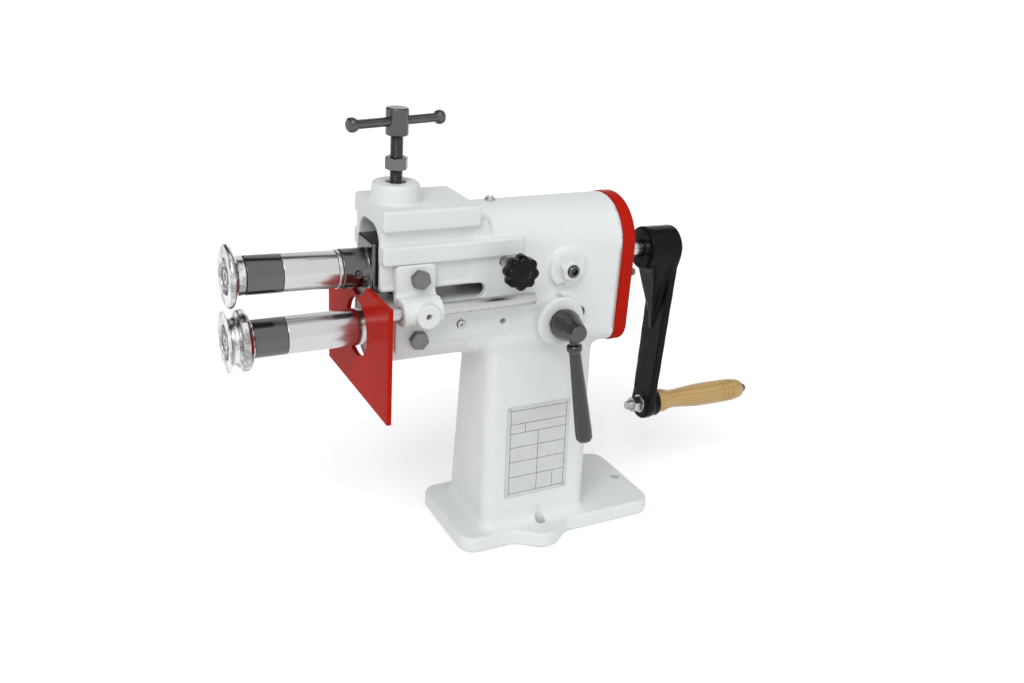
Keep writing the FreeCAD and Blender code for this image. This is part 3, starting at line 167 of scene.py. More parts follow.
def spread(tree, value, low, high, start=0.3, end=0.7):
    """Carry a texture's value onto a range."""
    return add(tree, "ShaderNodeMapRange", [("Value", value), ("From Min", start),
                                            ("From Max", end), ("To Min", low),
                                            ("To Max", high)]).outputs["Result"]


def shade(tree, factor, dark, light):
    return add(tree, "ShaderNodeMix", [("Factor", factor), ("A", (*dark, 1)), ("B", (*light, 1))],
               data_type="RGBA").outputs["Result"]


def bump(tree, shader, height, distance, strength=1.0):
    node = add(tree, "ShaderNodeBump", [("Height", height), ("Distance", distance),
                                        ("Strength", strength)])
    previous = shader.inputs["Normal"]
    if previous.is_linked:
        tree.links.new(previous.links[0].from_socket, node.inputs["Normal"])
    tree.links.new(node.outputs["Normal"], shader.inputs["Normal"])


def coat(tree, shader, colour_from, roughness_from):
    tree.links.new(colour_from, shader.inputs["Base Color"])
    tree.links.new(roughness_from, shader.inputs["Roughness"])


def darker(tone, factor):
    return tuple(channel * factor for channel in tone)


def enamel(name, tone, rough, peel, lump=0.0, ior=1.45, level=0.5):
    """Sprayed enamel or moulding: orange peel, slow waves and slight shade."""
    material, tree, shader = node_material(name)
    where = place_of(tree)
    shader.inputs["IOR"].default_value = ior
    shader.inputs["Specular IOR Level"].default_value = level
    broad = noise(tree, where, 14, 4)
    fine = noise(tree, where, 420, 2)
    coat(tree, shader, shade(tree, broad.outputs["Fac"], darker(tone, 0.93), tone),
         spread(tree, fine.outputs["Fac"], rough * 0.85, rough * 1.2))
    bump(tree, shader, fine.outputs["Fac"], peel)
    if lump:
        bump(tree, shader, noise(tree, where, 95, 3).outputs["Fac"], lump)
    return material


def lined_metal(name, tone, rough, stretch, depth, blotches, stained, swing):
    """Turned or ground steel: fine lines that the stretch lays across it, and faint stains."""
    material, tree, shader = node_material(name)
    shader.inputs["Metallic"].default_value = 1.0
    lines = noise(tree, place_of(tree, stretch), 1.0, 2)
    blotch = noise(tree, place_of(tree), blotches, 4)
    coat(tree, shader, shade(tree, blotch.outputs["Fac"], darker(tone, stained), tone),
         spread(tree, lines.outputs["Fac"], rough * swing[0], rough * swing[1]))
    bump(tree, shader, lines.outputs["Fac"], depth)
    return material


def turned_metal(name, tone, rough, axis):
    """Rings round an axis, as a lathe leaves them."""
    stretch = [14.0, 14.0, 14.0]
    stretch[axis] = 2600.0
    return lined_metal(name, tone, rough, stretch, 0.00002, 60, 0.82, (0.7, 1.35))


def smooth_tube(name, tone, rough):
    """Ground tube, with faint lines along its length."""
    return lined_metal(name, tone, rough, (5, 500, 500), 0.000004, 38, 0.86, (0.85, 1.2))


def dull_metal(name, tone, rough, grain=700, depth=0.00003, metallic=1.0):
    """Plated, drawn or blackened steel: fine grain and uneven sheen."""
    material, tree, shader = node_material(name)
    shader.inputs["Metallic"].default_value = metallic
    where = place_of(tree)
    fine = noise(tree, where, grain, 3)
    broad = noise(tree, where, 55, 4)
    coat(tree, shader, shade(tree, broad.outputs["Fac"], darker(tone, 0.72), tone),
         spread(tree, broad.outputs["Fac"], rough * 0.75, rough * 1.3))
    bump(tree, shader, fine.outputs["Fac"], depth)
    return material


def plated(name, tone):
    """Bright plating, clear in places and darker grey in others: the grey patches are painted dark
    reflection, and rougher.
    """
    material, tree, shader = node_material(name)
    shader.inputs["Metallic"].default_value = 1.0
    where = place_of(tree)
    smudge_and_reflection = noise(tree, where, 75, 5, 0.65)
    rubbed = noise(tree, place_of(tree, (900, 40, 40)), 1.0, 2)
    # Painted reflection: patches of darker base colour stand in for the splotchy dark reflections in
    # the polished steel.
    painted_reflection = spread(tree, smudge_and_reflection.outputs["Fac"], 0, 1, 0.4, 0.6)
    coat(tree, shader, shade(tree, painted_reflection, darker(tone, 0.42), tone),
         spread(tree, smudge_and_reflection.outputs["Fac"], 0.24, 0.09))
    bump(tree, shader, rubbed.outputs["Fac"], 0.00001)
    bump(tree, shader, smudge_and_reflection.outputs["Fac"], 0.00012)
    return material


def varnished_wood(name, tone):
    """Straight-grained turned wood under varnish, with the grain along the grip."""
    material, tree, shader = node_material(name)
    where = place_of(tree, (3.5, 60, 60))
    drift = noise(tree, where, 1.2, 4, 0.6)
    bands = add(tree, "ShaderNodeTexWave", [("Vector", place_of(tree, (1.2, 26, 26))),
                                            ("Scale", 3.0), ("Distortion", 5.0),
                                            ("Detail", 3.0)], wave_type="RINGS",
                rings_direction="X")
    pores = noise(tree, place_of(tree, (45, 900, 900)), 1.0, 2)
    mixed = add(tree, "ShaderNodeMath", [(0, bands.outputs["Fac"]), (1, drift.outputs["Fac"])],
                operation="MULTIPLY")
    late_wood = (0.72 * tone[0], 0.62 * tone[1], 0.52 * tone[2])
    coat(tree, shader, shade(tree, mixed.outputs["Value"], tone, late_wood),
         spread(tree, pores.outputs["Fac"], 0.28, 0.45))
    shader.inputs["Coat Weight"].default_value = 0.35
    shader.inputs["Coat Roughness"].default_value = 0.18
    bump(tree, shader, pores.outputs["Fac"], 0.00005)
    return material


def ink(name, tone):
    """Flat printing ink with a faint mottle."""
    material, tree, shader = node_material(name)
    mottle = noise(tree, place_of(tree), 900, 2)
    tree.links.new(shade(tree, mottle.outputs["Fac"], tone, darker(tone, 1.6)),
                   shader.inputs["Base Color"])
    shader.inputs["Roughness"].default_value = 0.5
    return material


MATERIALS = {}


def make_materials():
    tone = bpy.context.scene.bead_colours
    peel = bpy.context.scene.bead_sizes.enamel_bump
    MATERIALS.update({
        "casting": enamel("casting_enamel", tuple(tone.casting), 0.42, peel, 0.0004),
        "red": enamel("red_enamel", tuple(tone.red), 0.16, peel * 0.3, ior=1.06),
        "black": enamel("black_enamel", tuple(tone.black), 0.24, peel * 0.5, 0.0006, 1.25, 0.3),
        "lever": enamel("lever_enamel", tuple(tone.black), 0.08, peel * 0.05, ior=1.7),
        "sleeve": smooth_tube("blackened_sleeve", darker(tuple(tone.blackened), 1.1), 0.17),
        "blackened": dull_metal("blackened_steel", tuple(tone.blackened), 0.24),
        "dark_steel": turned_metal("oiled_turned_steel", (0.12, 0.12, 0.123), 0.24, 1),
        "steel_x": smooth_tube("ground_steel", tuple(tone.steel), 0.2),
        "rod": dull_metal("drawn_steel", (0.62, 0.62, 0.625), 0.3, 1300, 0.00004),
        "polished": plated("polished_steel", tuple(tone.polished)),
        "zinc": dull_metal("zinc_plate", (0.60, 0.60, 0.59), 0.25),
        "bolt": dull_metal("bolt_steel", (0.21, 0.21, 0.215), 0.3),
        "iron": dull_metal("gear_iron", (0.22, 0.22, 0.225), 0.45),
        "bronze": turned_metal("bush_bronze", (0.50, 0.33, 0.14), 0.35, 0),
        "wood": varnished_wood("grip_wood", tuple(tone.wood)),
        "knob": enamel("knob_plastic", darker(tuple(tone.knob), 0.6), 0.12, peel * 0.1, ior=1.25),
        "plate": dull_metal("plate_metal", tuple(tone.plate), 0.45, 900, 0.00002, 0.35),
        "ink": ink("plate_ink", (0.05, 0.05, 0.055)),
    })


def dress(node, material):
    """Give a piece of the frame its finish."""
    target = NODES[node]
    target.data.materials.clear()
    target.data.materials.append(MATERIALS[material])


# Making meshes

def mesh_object(name, points, faces, material, matrix=Matrix.Identity(4), crease=32):
    """An object from points in millimetres, moved by matrix, with edges past crease kept sharp."""
    mesh = bpy.data.meshes.new(name)
    places = [(matrix @ Vector(p)) * MM for p in points]
    mesh.from_pydata(places, [], faces)
    mesh.validate()
    tidy = bmesh.new()
    tidy.from_mesh(mesh)
    bmesh.ops.remove_doubles(tidy, verts=tidy.verts, dist=1e-6)
    bmesh.ops.recalc_face_normals(tidy, faces=tidy.faces)
    tidy.to_mesh(mesh)
    tidy.free()
    mesh.shade_smooth()
    mesh.set_sharp_from_angle(angle=math.radians(crease))
    mesh.materials.append(MATERIALS[material])
    obj = bpy.data.objects.new(name, mesh)
    bpy.context.collection.objects.link(obj)
    return obj


def stand_for(obj, body, *nodes):
    """obj rides on body and is shown in place of nodes."""
    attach(obj, body)
    if nodes:
        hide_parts(*nodes)
    return obj


def softened(profile, radius, steps=4):
    """A profile of (along, radius) points with its corners rounded."""
    points = [Vector(p) for p in profile]
    out = [points[0]]
    for before, here, after in zip(points, points[1:], points[2:]):
        a = before - here
        b = after - here
        if a.length < 1e-6 or b.length < 1e-6:
            continue
        bend = a.angle(b)
        if bend > math.radians(165):
            out.append(here)
            continue
        reach = min(radius / math.tan(bend / 2), a.length * 0.48, b.length * 0.48)
        start = here + a.normalized() * reach
        end = here + b.normalized() * reach
        for step in range(steps + 1):
            t = step / steps
            out.append((1 - t) ** 2 * start + 2 * t * (1 - t) * here + t * t * end)
    out.append(points[-1])
    return out


def swept(stations, radius_at, around):
    """Points and faces of a surface round the X axis: radius_at gives (along, radius)."""
    points = []
    faces = []
    rows = len(stations)
    for row in stations:
        for k in range(around):
            angle = 2 * math.pi * k / around
            along, radius = radius_at(row, angle)
            points.append((along, radius * math.cos(angle), radius * math.sin(angle)))
    for i in range(rows - 1):
        for k in range(around):
            n = (k + 1) % around
            faces.append((i * around + k, i * around + n, (i + 1) * around + n,
                          (i + 1) * around + k))
    return points, faces


def lathe(name, profile, material, matrix, radius=0.5, closed=True, around=ROUND):
    """A turned piece round the X axis, its profile a ring or a line from axis to axis."""
    loop = list(profile)
    if closed:
        middle = (Vector(loop[0]) + Vector(loop[-1])) / 2
        loop = [tuple(middle)] + loop + [tuple(middle)]
    line = softened(loop, radius)
    points, faces = swept(line, lambda p, angle: (p[0], max(p[1], 0.0)), around)
    return mesh_object(name, points, faces, material, matrix)


def turn_up(name, profile, material, matrix, radius, body, *nodes):
    """A solid turned piece, its profile drawn from axis to axis, which rides on body."""
    piece = lathe(name, profile, material, matrix, radius, closed=False)
    return stand_for(piece, body, *nodes)


def cap(faces, first, around):
    """Close the ring of points that starts at first."""
    faces.append(tuple(range(first, first + around)))


def hexagon_at(angle, flats):
    sector = math.pi / 3
    local = (angle + sector / 2) % sector - sector / 2
    return flats / 2 / math.cos(local)


def hex_piece(name, flats, height, bore, material, matrix, both=False):
    """A hexagon head or nut along X with turned corners, and a bore where it is above 0."""
    chamfer = 0.55
    levels = [0, 0.15, 0.3, 0.5, 0.75, 1.0, 1.4, 1.9, 2.4]
    stations = [("low", level) for level in levels] if both else [("flat", 0.0)]
    stations += [("high", level) for level in reversed(levels)]

    # A nut's bore goes on from its far face, back to the near one.
    bores = [(height, bore + 0.8), (height - 0.8, bore), (0.8, bore),
             (0, bore + 0.8 if both else bore)] if bore > 0 else []
    stations += [("bore", row) for row in bores]

    def radius_at(row, angle):
        kind, level = row
        if kind == "bore":
            return level
        full = hexagon_at(angle, flats)
        if kind == "flat":
            return 0.0, full
        limit = flats / 2 * 0.97 + level / chamfer
        along = level if kind == "low" else height - level
        return along, min(full, limit)

    around = 120
    points, faces = swept(stations, radius_at, around)
    last = (len(stations) - 1) * around
    if bores:
        faces += [(last + k, last + (k + 1) % around, (k + 1) % around, k) for k in range(around)]
    else:
        cap(faces, 0, around)
        cap(faces, last, around)
    return mesh_object(name, points, faces, material, matrix, crease=24)


def threaded(name, radius, pitch, start, end, material, matrix, depth=0.9):
    """A threaded rod along X, its thread one unbroken spiral."""
    per_turn = 10
    count = int((end - start) / pitch * per_turn)
    stations = [start + (end - start) * i / count for i in range(count + 1)]

    def radius_at(along, angle):
        phase = (along / pitch - angle / (2 * math.pi)) % 1.0
        ridge = abs(2 * phase - 1)
        shaped = min(max((ridge - 0.12) / 0.76, 0), 1)
        fade = min((along - start) / 1.5, (end - along) / 1.5, 1.0)
        return along, radius - depth * (shaped if fade > 0 else 0) - (1 - fade) * 0.7

    around = 48
    points, faces = swept(stations, radius_at, around)
    cap(faces, 0, around)
    cap(faces, count * around, around)
    return mesh_object(name, points, faces, material, matrix, crease=60)


def joined(name, *pieces):
    """Join pieces into the first, which keeps its name."""
    with bpy.context.temp_override(active_object=pieces[0], selected_editable_objects=pieces):
        bpy.ops.object.join()
    pieces[0].name = name
    return pieces[0]


# Cast shapes, given as signed distances on a grid of points

class Space:
    """A box of evenly spaced points. Distances are negative inside a shape."""

    def __init__(self, low, high, step):
        self.low = np.array(low, dtype=np.float32)
        self.step = step
        axes = [np.arange(a, b + step, step, dtype=np.float32) for a, b in zip(low, high)]
        self.x, self.y, self.z = np.meshgrid(*axes, indexing="ij", sparse=True)
        self.shape = tuple(len(axis) for axis in axes)

    def mesh(self, name, field, material, matrix=Matrix.Identity(4), adapt=0.02):
        band = 3 * self.step
        values = np.clip(np.broadcast_to(field, self.shape), -band, band).astype(np.float32)
        grid = openvdb.FloatGrid(band)
        grid.copyFromArray(values)
        points, threes, fours = grid.convertToPolygons(isovalue=0.0, adaptivity=adapt)
        normals = self.slopes(values, points)
        places = (points * self.step + self.low) * MM
        rotate = np.array(matrix.to_3x3())
        places = places @ rotate.T + np.array(matrix.translation) * MM
        faces = [tuple(f) for f in fours.tolist()] + [tuple(f) for f in threes.tolist()]
        data = bpy.data.meshes.new(name)
        data.from_pydata(places.tolist(), [], faces)
        tidy = bmesh.new()
        tidy.from_mesh(data)
        bmesh.ops.recalc_face_normals(tidy, faces=tidy.faces)
        tidy.to_mesh(data)
        tidy.free()
        data.shade_smooth()
        data.normals_split_custom_set_from_vertices((normals @ rotate.T).tolist())
        data.materials.append(MATERIALS[material])
        obj = bpy.data.objects.new(name, data)
        bpy.context.collection.objects.link(obj)
        return obj

    def slopes(self, values, points):
        """The outward direction of the field at each point."""
        out = np.zeros_like(points)
        for axis in range(3):
            shift = np.zeros(3, dtype=np.float32)
            shift[axis] = 0.75
            out[:, axis] = (self.sample(values, points + shift)
                            - self.sample(values, points - shift))
        size = np.linalg.norm(out, axis=1, keepdims=True)
        return out / np.maximum(size, 1e-9)

    def sample(self, values, points):
        top = np.array(self.shape) - 2
        base = np.clip(np.floor(points).astype(int), 0, top)
        part = points - base
        total = np.zeros(len(points), dtype=np.float32)
        for corner in range(8):
            step = np.array([(corner >> axis) & 1 for axis in range(3)])
            weight = np.prod(np.where(step, part, 1 - part), axis=1)
            where = base + step
            total += weight * values[where[:, 0], where[:, 1], where[:, 2]]
        return total


def flat_round(a, b, radius):
    """Distance to where two half spaces meet, with that edge rounded."""
    u = a + radius
    v = b + radius
    inside = np.minimum(np.maximum(u, v), 0)
    return inside + np.hypot(np.maximum(u, 0), np.maximum(v, 0)) - radius


def span(coordinate, low, high):
    return np.abs(coordinate - (low + high) / 2) - (high - low) / 2


def block(space, low, high, radius, edge=None):
    """A box whose upright corners have a radius, and its other edges an edge radius."""
    outline = flat_round(span(space.x, low[0], high[0]), span(space.y, low[1], high[1]), radius)
    return flat_round(outline, span(space.z, low[2], high[2]), radius if edge is None else edge)


def strip(space, low, high, corner, edge):
    """A bar along X whose corners, seen from the side, have a radius."""
    outline = flat_round(span(space.x, low[0], high[0]), span(space.z, low[2], high[2]), corner)
    return flat_round(outline, span(space.y, low[1], high[1]), edge)


def drum(axis, space, first, second, radius, low, high, edge=1.0):
    """A round bar along an axis, at two places on the other axes, in their order."""
    across = [space.x, space.y, space.z]
    along = across.pop(axis)
    ring = np.hypot(across[0] - first, across[1] - second) - radius
    return flat_round(ring, span(along, low, high), edge)


drum_x = partial(drum, 0)
drum_y = partial(drum, 1)
drum_z = partial(drum, 2)


def welded(a, b, radius):
    """Join two shapes with a fillet of that radius."""
    u = np.maximum(radius - a, 0)
    v = np.maximum(radius - b, 0)
    return np.maximum(radius, np.minimum(a, b)) - np.hypot(u, v)


def carved(a, tool, radius=1.0):
    """Take tool out of a, with its rim rounded."""
    u = np.maximum(radius + a, 0)
    v = np.maximum(radius - tool, 0)
    return np.minimum(-radius, np.maximum(a, -tool)) + np.hypot(u, v)


def bored(space, body, bores):
    """Each bore: its drum, two places of its axis, its radius, its ends and its rim's radius."""
    for tool, first, second, radius, low, high, rim in bores:
        body = carved(body, tool(space, first, second, radius, low, high, 0.1), rim)
    return body


def arch_distance(y, z, half, bottom, top, corner):
    """Distance to an upright outline with a half-round top and rounded bottom corners."""
    centre = top - half
    side = np.abs(y) - half
    upper_part = np.hypot(y, z - centre) - half
    lower_part = flat_round(side, bottom - z, corner)
    return np.where(z > centre, upper_part, lower_part)


def casting_body(space, foot_fillet, arm_fillet):
    """Base, column, arm and housing, joined with cast fillets."""
    x, y, z = space.x, space.y, space.z
    plate = flat_round(span(x, -135, 135), span(y, -69, 69), 20)
    lugs = np.hypot(x + 31, np.abs(y) - 69) - 21
    base = flat_round(welded(plate, lugs, 24), span(z, 0, 20), 3.5)
    lean = np.clip((z - 19) / 243, 0, 1)
    column = flat_round(span(x, -103, 39), np.abs(y) - (56 - 15 * lean), 15)
    column = flat_round(column, span(z, 5, 262), 2)
    half = 38 + 16 * np.clip((x + 128) / 184, 0, 1)
    housing = arch_distance(y, z, half, 245, 418, 22)
    housing = flat_round(housing, span(x, -128, 56), 1)
    wall = strip(space, (-235, -38, LOWER_Z), (-110, 38, 406), 2, 1.6)
    barrel = drum_x(space, 0, LOWER_Z, 43, -235, 40, 2)
    top = welded(wall, strip(space, (-235, -46, 402), (-124, 46, 425), 4, 2.5), 2)
    head = welded(top, housing, 6)
    rail = strip(space, (-235, -46, 366), (-70, 46, 387), 4, 1.6)
    pad = strip(space, (-235, -43, 274), (-72, 43, 316), 12, 2)
    head = welded(head, rail, 2.5)
    head = welded(head, barrel, 4)
    head = welded(head, pad, 2.5)
    body = welded(base, column, foot_fillet)
    return welded(body, head, arm_fillet)


def slot_outline(space, grow):
    """The long slot in the arm's walls, seen from the side."""
    radius = 9 + grow
    tip = np.hypot(space.x + 121, space.z - 327) - radius
    run = np.maximum(np.abs(space.z - 327) - radius, space.x + 121)
    return np.minimum(tip, run)


def casting_bosses(space, body):
    rim = flat_round(slot_outline(space, 5), np.abs(space.y) - 39.6, 1.2)
    rim = np.maximum(rim, -233 - space.x)
    body = welded(body, rim, 1.5)
    body = welded(body, drum_y(space, PIVOT.x, PIVOT.z, 23, -54, 54, 2), 5)
    body = welded(body, drum_y(space, LEVER_X, LOWER_Z, 30, -60, 0, 2.5), 6)
    flare = 25 + 2.2 * np.clip((445 - space.z) / 20, 0, 1)
    ring = np.hypot(space.x - SCREW_X, space.y) - flare
    return welded(body, flat_round(ring, span(space.z, 420, 445), 3), 1.5)


def casting_hollows(space, body):
    x, y, z = space.x, space.y, space.z
    arched = np.where(z > 380, np.hypot(np.maximum(np.abs(y) - 8, 0), z - 383) - 22,
                      np.abs(y) - 30)
    cavity = np.maximum(np.maximum(arched, 318 - z), -260 - x)
    body = carved(body, np.maximum(cavity, x - 60), 1.5)
    chamber = flat_round(span(y, -40, 40), span(z, 249, 392), 18)
    body = carved(body, np.maximum(chamber, 14 - x), 1)
    body = carved(body, np.maximum(slot_outline(space, 0), np.abs(y) - 80), 1.2)
    bores = [(drum_x, 0, LOWER_Z, 26.2, -260, -188, 0.8), (drum_x, 0, LOWER_Z, 22, -200, 60, 0.8),
             (drum_y, PIVOT.x, PIVOT.z, 7.2, -80, 80, 0.6),
             (drum_y, LEVER_X, LOWER_Z, 14.2, -80, 0, 0.6),
             (drum_z, SCREW_X, 0, 8.2, 400, 438, 0.3), (drum_z, SCREW_X, 0, 10.5, 437, 470, 0.8),
             (drum_y, *PAD_SCREW, 4.6, -80, -28, 0.5), (drum_y, -89, 288, 3.4, -80, -32, 0.5),
             (drum_y, KNOB_X, KNOB_Z, 5.3, -80, -20, 0.4), (drum_z, LEVER_X, -52, 4.4, 300, 330, 0.5),
             (drum_x, -53, LOWER_Z + 8, 5.2, -4, 8.5, 0.5)]
    bores += [(drum_z, *spot, 6, -10, 40, 1.0) for spot in ((-28, -60), (-28, 60), (121, 0))]
    return np.maximum(bored(space, body, bores), -z)


class Maker:
    """What the operators share: each makes its pieces, and says that it has finished."""

    def execute(self, context):
        self.make(context)
        return {"FINISHED"}


class BEAD_OT_casting(Maker, bpy.types.Operator):
    """Cast body with soft edges, sweeps and bored holes"""
    bl_idname = "bead.casting"
    bl_label = "Body casting"

    def make(self, context):
        sizes = context.scene.bead_sizes
        space = Space((-239, -94, -4), (139, 94, 450), sizes.casting_step / MM)
        body = casting_body(space, sizes.foot_fillet / MM, sizes.arm_fillet / MM)
        body = casting_hollows(space, casting_bosses(space, body))
        stand_for(space.mesh("casting", body, "casting"), "root", "body_casting")


class BEAD_OT_bracket(Maker, bpy.types.Operator):
    """Cast clamp bracket for the fence rod, with its bolts"""
    bl_idname = "bead.bracket"
    bl_label = "Clamp bracket"

    def make(self, context):
        space = Space((-225, -82, 260), (-172, -34, 371), 0.8)
        face = -48
        left, right = BRACKET_X
        ear = strip(space, (left, face, 322), (right, -38, 366), 5, 1.5)
        foot = strip(space, (left, face, 266), (right, -43, 322), 5, 1.5)
        bulge = drum_x(space, ROD_Y, ROD_Z, 14.5, left, right, 2)
        seat = strip(space, (left, ROD_Y, 304.5), (right, -44, 333.5), 3, 2)
        bulge = welded(bulge, seat, 3)
        nose = drum_y(space, BRACKET_BOLT_X, ROD_Z - 1, 13.5, -78, -55, 1.5)
        shape = welded(welded(np.minimum(ear, foot), bulge, 5), nose, 3)
        shape = bored(space, shape, [(drum_x, ROD_Y, ROD_Z, 7, -240, -160, 0.8),
                                     (drum_y, BRACKET_BOLT_X, ROD_Z - 1, 3.3, -90, -66, 0.8)])
        wall = np.where(space.z > 315.5, np.abs(space.y) - 38, np.abs(space.y) - 43)
        shape = np.maximum(shape, -wall)
        stand_for(space.mesh("clamp_bracket", shape, "casting", adapt=0.01), "root",
                  "guide_bracket")
        heads = []
        for n, height in enumerate((351, 282)):
            out = at(BRACKET_BOLT_X, face, height) @ TO_FRONT
            heads.append(hex_piece("bolt_%d" % n, 18.5, 8, 0, "bolt", out @ turn(12 + 9 * n, "X")))
        stand_for(joined("bracket_bolt_heads", *heads), "root", "bracket_bolts")


class BEAD_OT_rollers(Maker, bpy.types.Operator):
    """Polished forming rollers and the screws that hold them"""
    bl_idname = "bead.rollers"
    bl_label = "Rollers"

    def make(self, context):
        bead, half = -384.5, 3.4
        front = upper(bead - half)
        end = upper(-369)
        rim = [(front, 21), (front + 0.2, 27.5)]
        for step in range(13):
            angle = math.radians(172 - step * 14.3)
            rim.append((upper(bead) + half * math.cos(angle), 29.6 + half * math.sin(angle)))
        male = [(end, 10.1), (front + 9, 10.1), (front + 9, 18.5), (front + 1.2, 18.9)] + rim
        male += [(front + 8.3, 23.5), (front + 10.8, 20.9), (end - 1.2, 20.4), (end, 19.4)]
        stand_for(lathe("bead_roller_male", male, "polished", UPPER, 0.8), "upper_spindle",
                  "upper_roller")
        middle, groove = -383.3, 6.3
        front = middle - groove - 1.08
        rim = [(front, 21), (front, 30.8), (front + 0.5, 32.2), (middle - groove, 33)]
        for step in range(13):
            angle = math.radians(180 + step * 15)
            rim.append((middle + (groove - 0.4) * math.cos(angle), 31.8 + 7 * math.sin(angle)))
        rim += [(middle + groove + 1.2, 33), (middle + groove + 6.5, 33), (-367, 30.4),
                (-367, 21.9), (-363, 20.5)]
        female = [(-363, 10.1), (front + 9, 10.1), (front + 9, 18.5), (front + 1.2, 18.9)] + rim
        stand_for(lathe("bead_roller_female", female, "polished", LOWER, 0.5), "lower_spindle",
                  "lower_roller")
        self.screw("roller_screw_upper", upper(bead - half), UPPER, "upper_spindle",
                   "upper_roller_screw")
        self.screw("roller_screw_lower", front, LOWER, "lower_spindle", "lower_roller_screw")

    def screw(self, name, front, matrix, body, node):
        head = [(front + 24, 0), (front + 24, 4.9), (front + 9, 4.95), (front + 9, 14),
                (front + 6.6, 14), (front + 6.5, 8.4), (front + 1.4, 8.4), (front + 0.8, 7.6),
                (front + 0.8, 4.4), (front + 4.5, 4.3), (front + 4.6, 0)]
        turn_up(name, head, "zinc", matrix, 0.5, body, node)


class BEAD_OT_spindles(Maker, bpy.types.Operator):
    """Blackened sleeves, ground tubes and end ring on both spindles"""
    bl_idname = "bead.spindles"
    bl_label = "Spindle sleeves"

    def make(self, context):
        rings = (("upper_black_sleeve", -369, -331.5, 20.5, "sleeve", "upper_spindle"),
                 ("upper_spacer_tube", -331.5, -273, 20.3, "steel_x", "upper_spindle"),
                 ("upper_end_ring", -273, -269, 21, "steel_x", "upper_spindle"),
                 ("lower_black_sleeve", -363, -328, 20.5, "sleeve", "lower_spindle"),
                 ("lower_spacer_tube", -328, -186, 20.5, "steel_x", "lower_spindle"))
        for node, start, end, radius, material, body in rings:
            matrix, shift = (UPPER, -PIVOT.x) if body == "upper_spindle" else (LOWER, 0)
            a, b = start + shift + 0.15, end + shift - 0.15
            ring = [(a, 14), (b, 14), (b, radius), (a, radius)]
            stand_for(lathe(node + "_turned", ring, material, matrix, 0.7), body, node)
        for node in ("upper_shaft", "lower_shaft"):
            dress(node, "steel_x")
        for node in ("upper_gear", "lower_gear", "lower_shaft_nut", "shift_ring",
                     "upper_shaft_keys", "lower_shaft_keys"):
            dress(node, "iron")
        for node in ("upper_front_bush", "upper_rear_bush", "lower_front_bush",
                     "lower_rear_bush", "lever_bush"):
            dress(node, "bronze")


class BEAD_OT_carrier(Maker, bpy.types.Operator):
    """Blackened rocking carrier of the upper spindle"""
    bl_idname = "bead.carrier"
    bl_label = "Carrier"

    def make(self, context):
        space = Space((upper(-270.5), -31, -26), (upper(12), 31, 36), 1.2)
        nose = drum_x(space, 0, 0, 21.5, upper(-268.7), upper(-238), 0.8)
        body = block(space, (upper(-240), -24, -23), (upper(-176), 24, 33), 3)
        tube = drum_x(space, 0, 0, 24, upper(-180), upper(10), 1)
        trunnion = drum_y(space, 0, 0, 15, -29, 29, 1)
        seat = block(space, (upper(KNOB_X) - 14, -29, -12), (upper(KNOB_X) + 14, 0, 22), 2)
        shape = welded(welded(nose, body, 1.5), tube, 3)
        shape = welded(welded(shape, trunnion, 3), seat, 2)
        front = upper(-290)
        shape = bored(space, shape, [(drum_x, 0, 0, 19.1, front, upper(-225), 0.6),
                                     (drum_x, 0, 0, 15.6, front, upper(40), 0.6),
                                     (drum_y, upper(-253), 0, 3.3, -40, -15, 0.8)])
        stand_for(space.mesh("rocking_carrier", shape, "sleeve", UPPER, 0.01), "rocker",
                  "upper_carrier")
        dress("carrier_set_screw", "blackened")
        dress("thrust_button", "blackened")
        dress("return_spring", "bolt")


def crank_shape(space, left, face, thick, radius, boss):
    """The crank: a hub, a flat tapering arm and an end boss, with a web under the hub."""
    x, y, z = space.x, space.y, space.z
    hub = drum_x(space, 0, 0, 27, left, face + thick, 3)
    share = np.clip(-z / radius, 0, 1)
    half = 23 - 3 * share
    outline = np.where(z > 0, np.hypot(y, z) - 23,
                       np.where(z < -radius, np.hypot(y, z + radius) - 20, np.abs(y) - half))
    arm = flat_round(outline, span(x, face, face + thick), 2.5)
    drop = np.clip((-z - 16) / 92, 0, 1)
    web_x = face - (face - left - 9) * (1 - drop)
    web_half = 21 * (1 - drop) + 2
    web = flat_round(flat_round(np.abs(y) - web_half, np.maximum(web_x - x, x - face - 4), 2.5),
                     span(z, -110, 0), 2)
    end = drum_x(space, 0, -radius, 19, face, face + thick + boss, 2.5)
    shape = welded(welded(arm, hub, 5), web, 4)
    shape = welded(shape, end, 3)
    return bored(space, shape, [(drum_x, 0, 0, 10.1, left - 20, face + thick + 20, 1),
                                (drum_x, 0, -radius, 6.1, face - 20, face + 60, 0.8)])


class BEAD_OT_crank(Maker, bpy.types.Operator):
    """Cast crank arm under thick black enamel"""
    bl_idname = "bead.crank"
    bl_label = "Crank arm"

    def make(self, context):
        left, face = upper(120), upper(CRANK_PLATE_X)
        thick, radius, boss = CRANK_PLATE, CRANK_REACH, CRANK_BOSS
        step = context.scene.bead_sizes.crank_step / MM
        space = Space((left - 3, -31, -radius - 24), (face + thick + boss + 3, 31, 31), step)
        shape = crank_shape(space, left, face, thick, radius, boss)
        lumps = (np.sin(space.x * 0.31 + 1.3) * np.sin(space.y * 0.27)
                 + np.sin(space.z * 0.19 + space.y * 0.11)) * 0.12
        arm = space.mesh("crank_arm_cast", shape + lumps + 0.2, "black", UPPER, 0.01)
        stand_for(arm, "upper_spindle", "crank_arm")


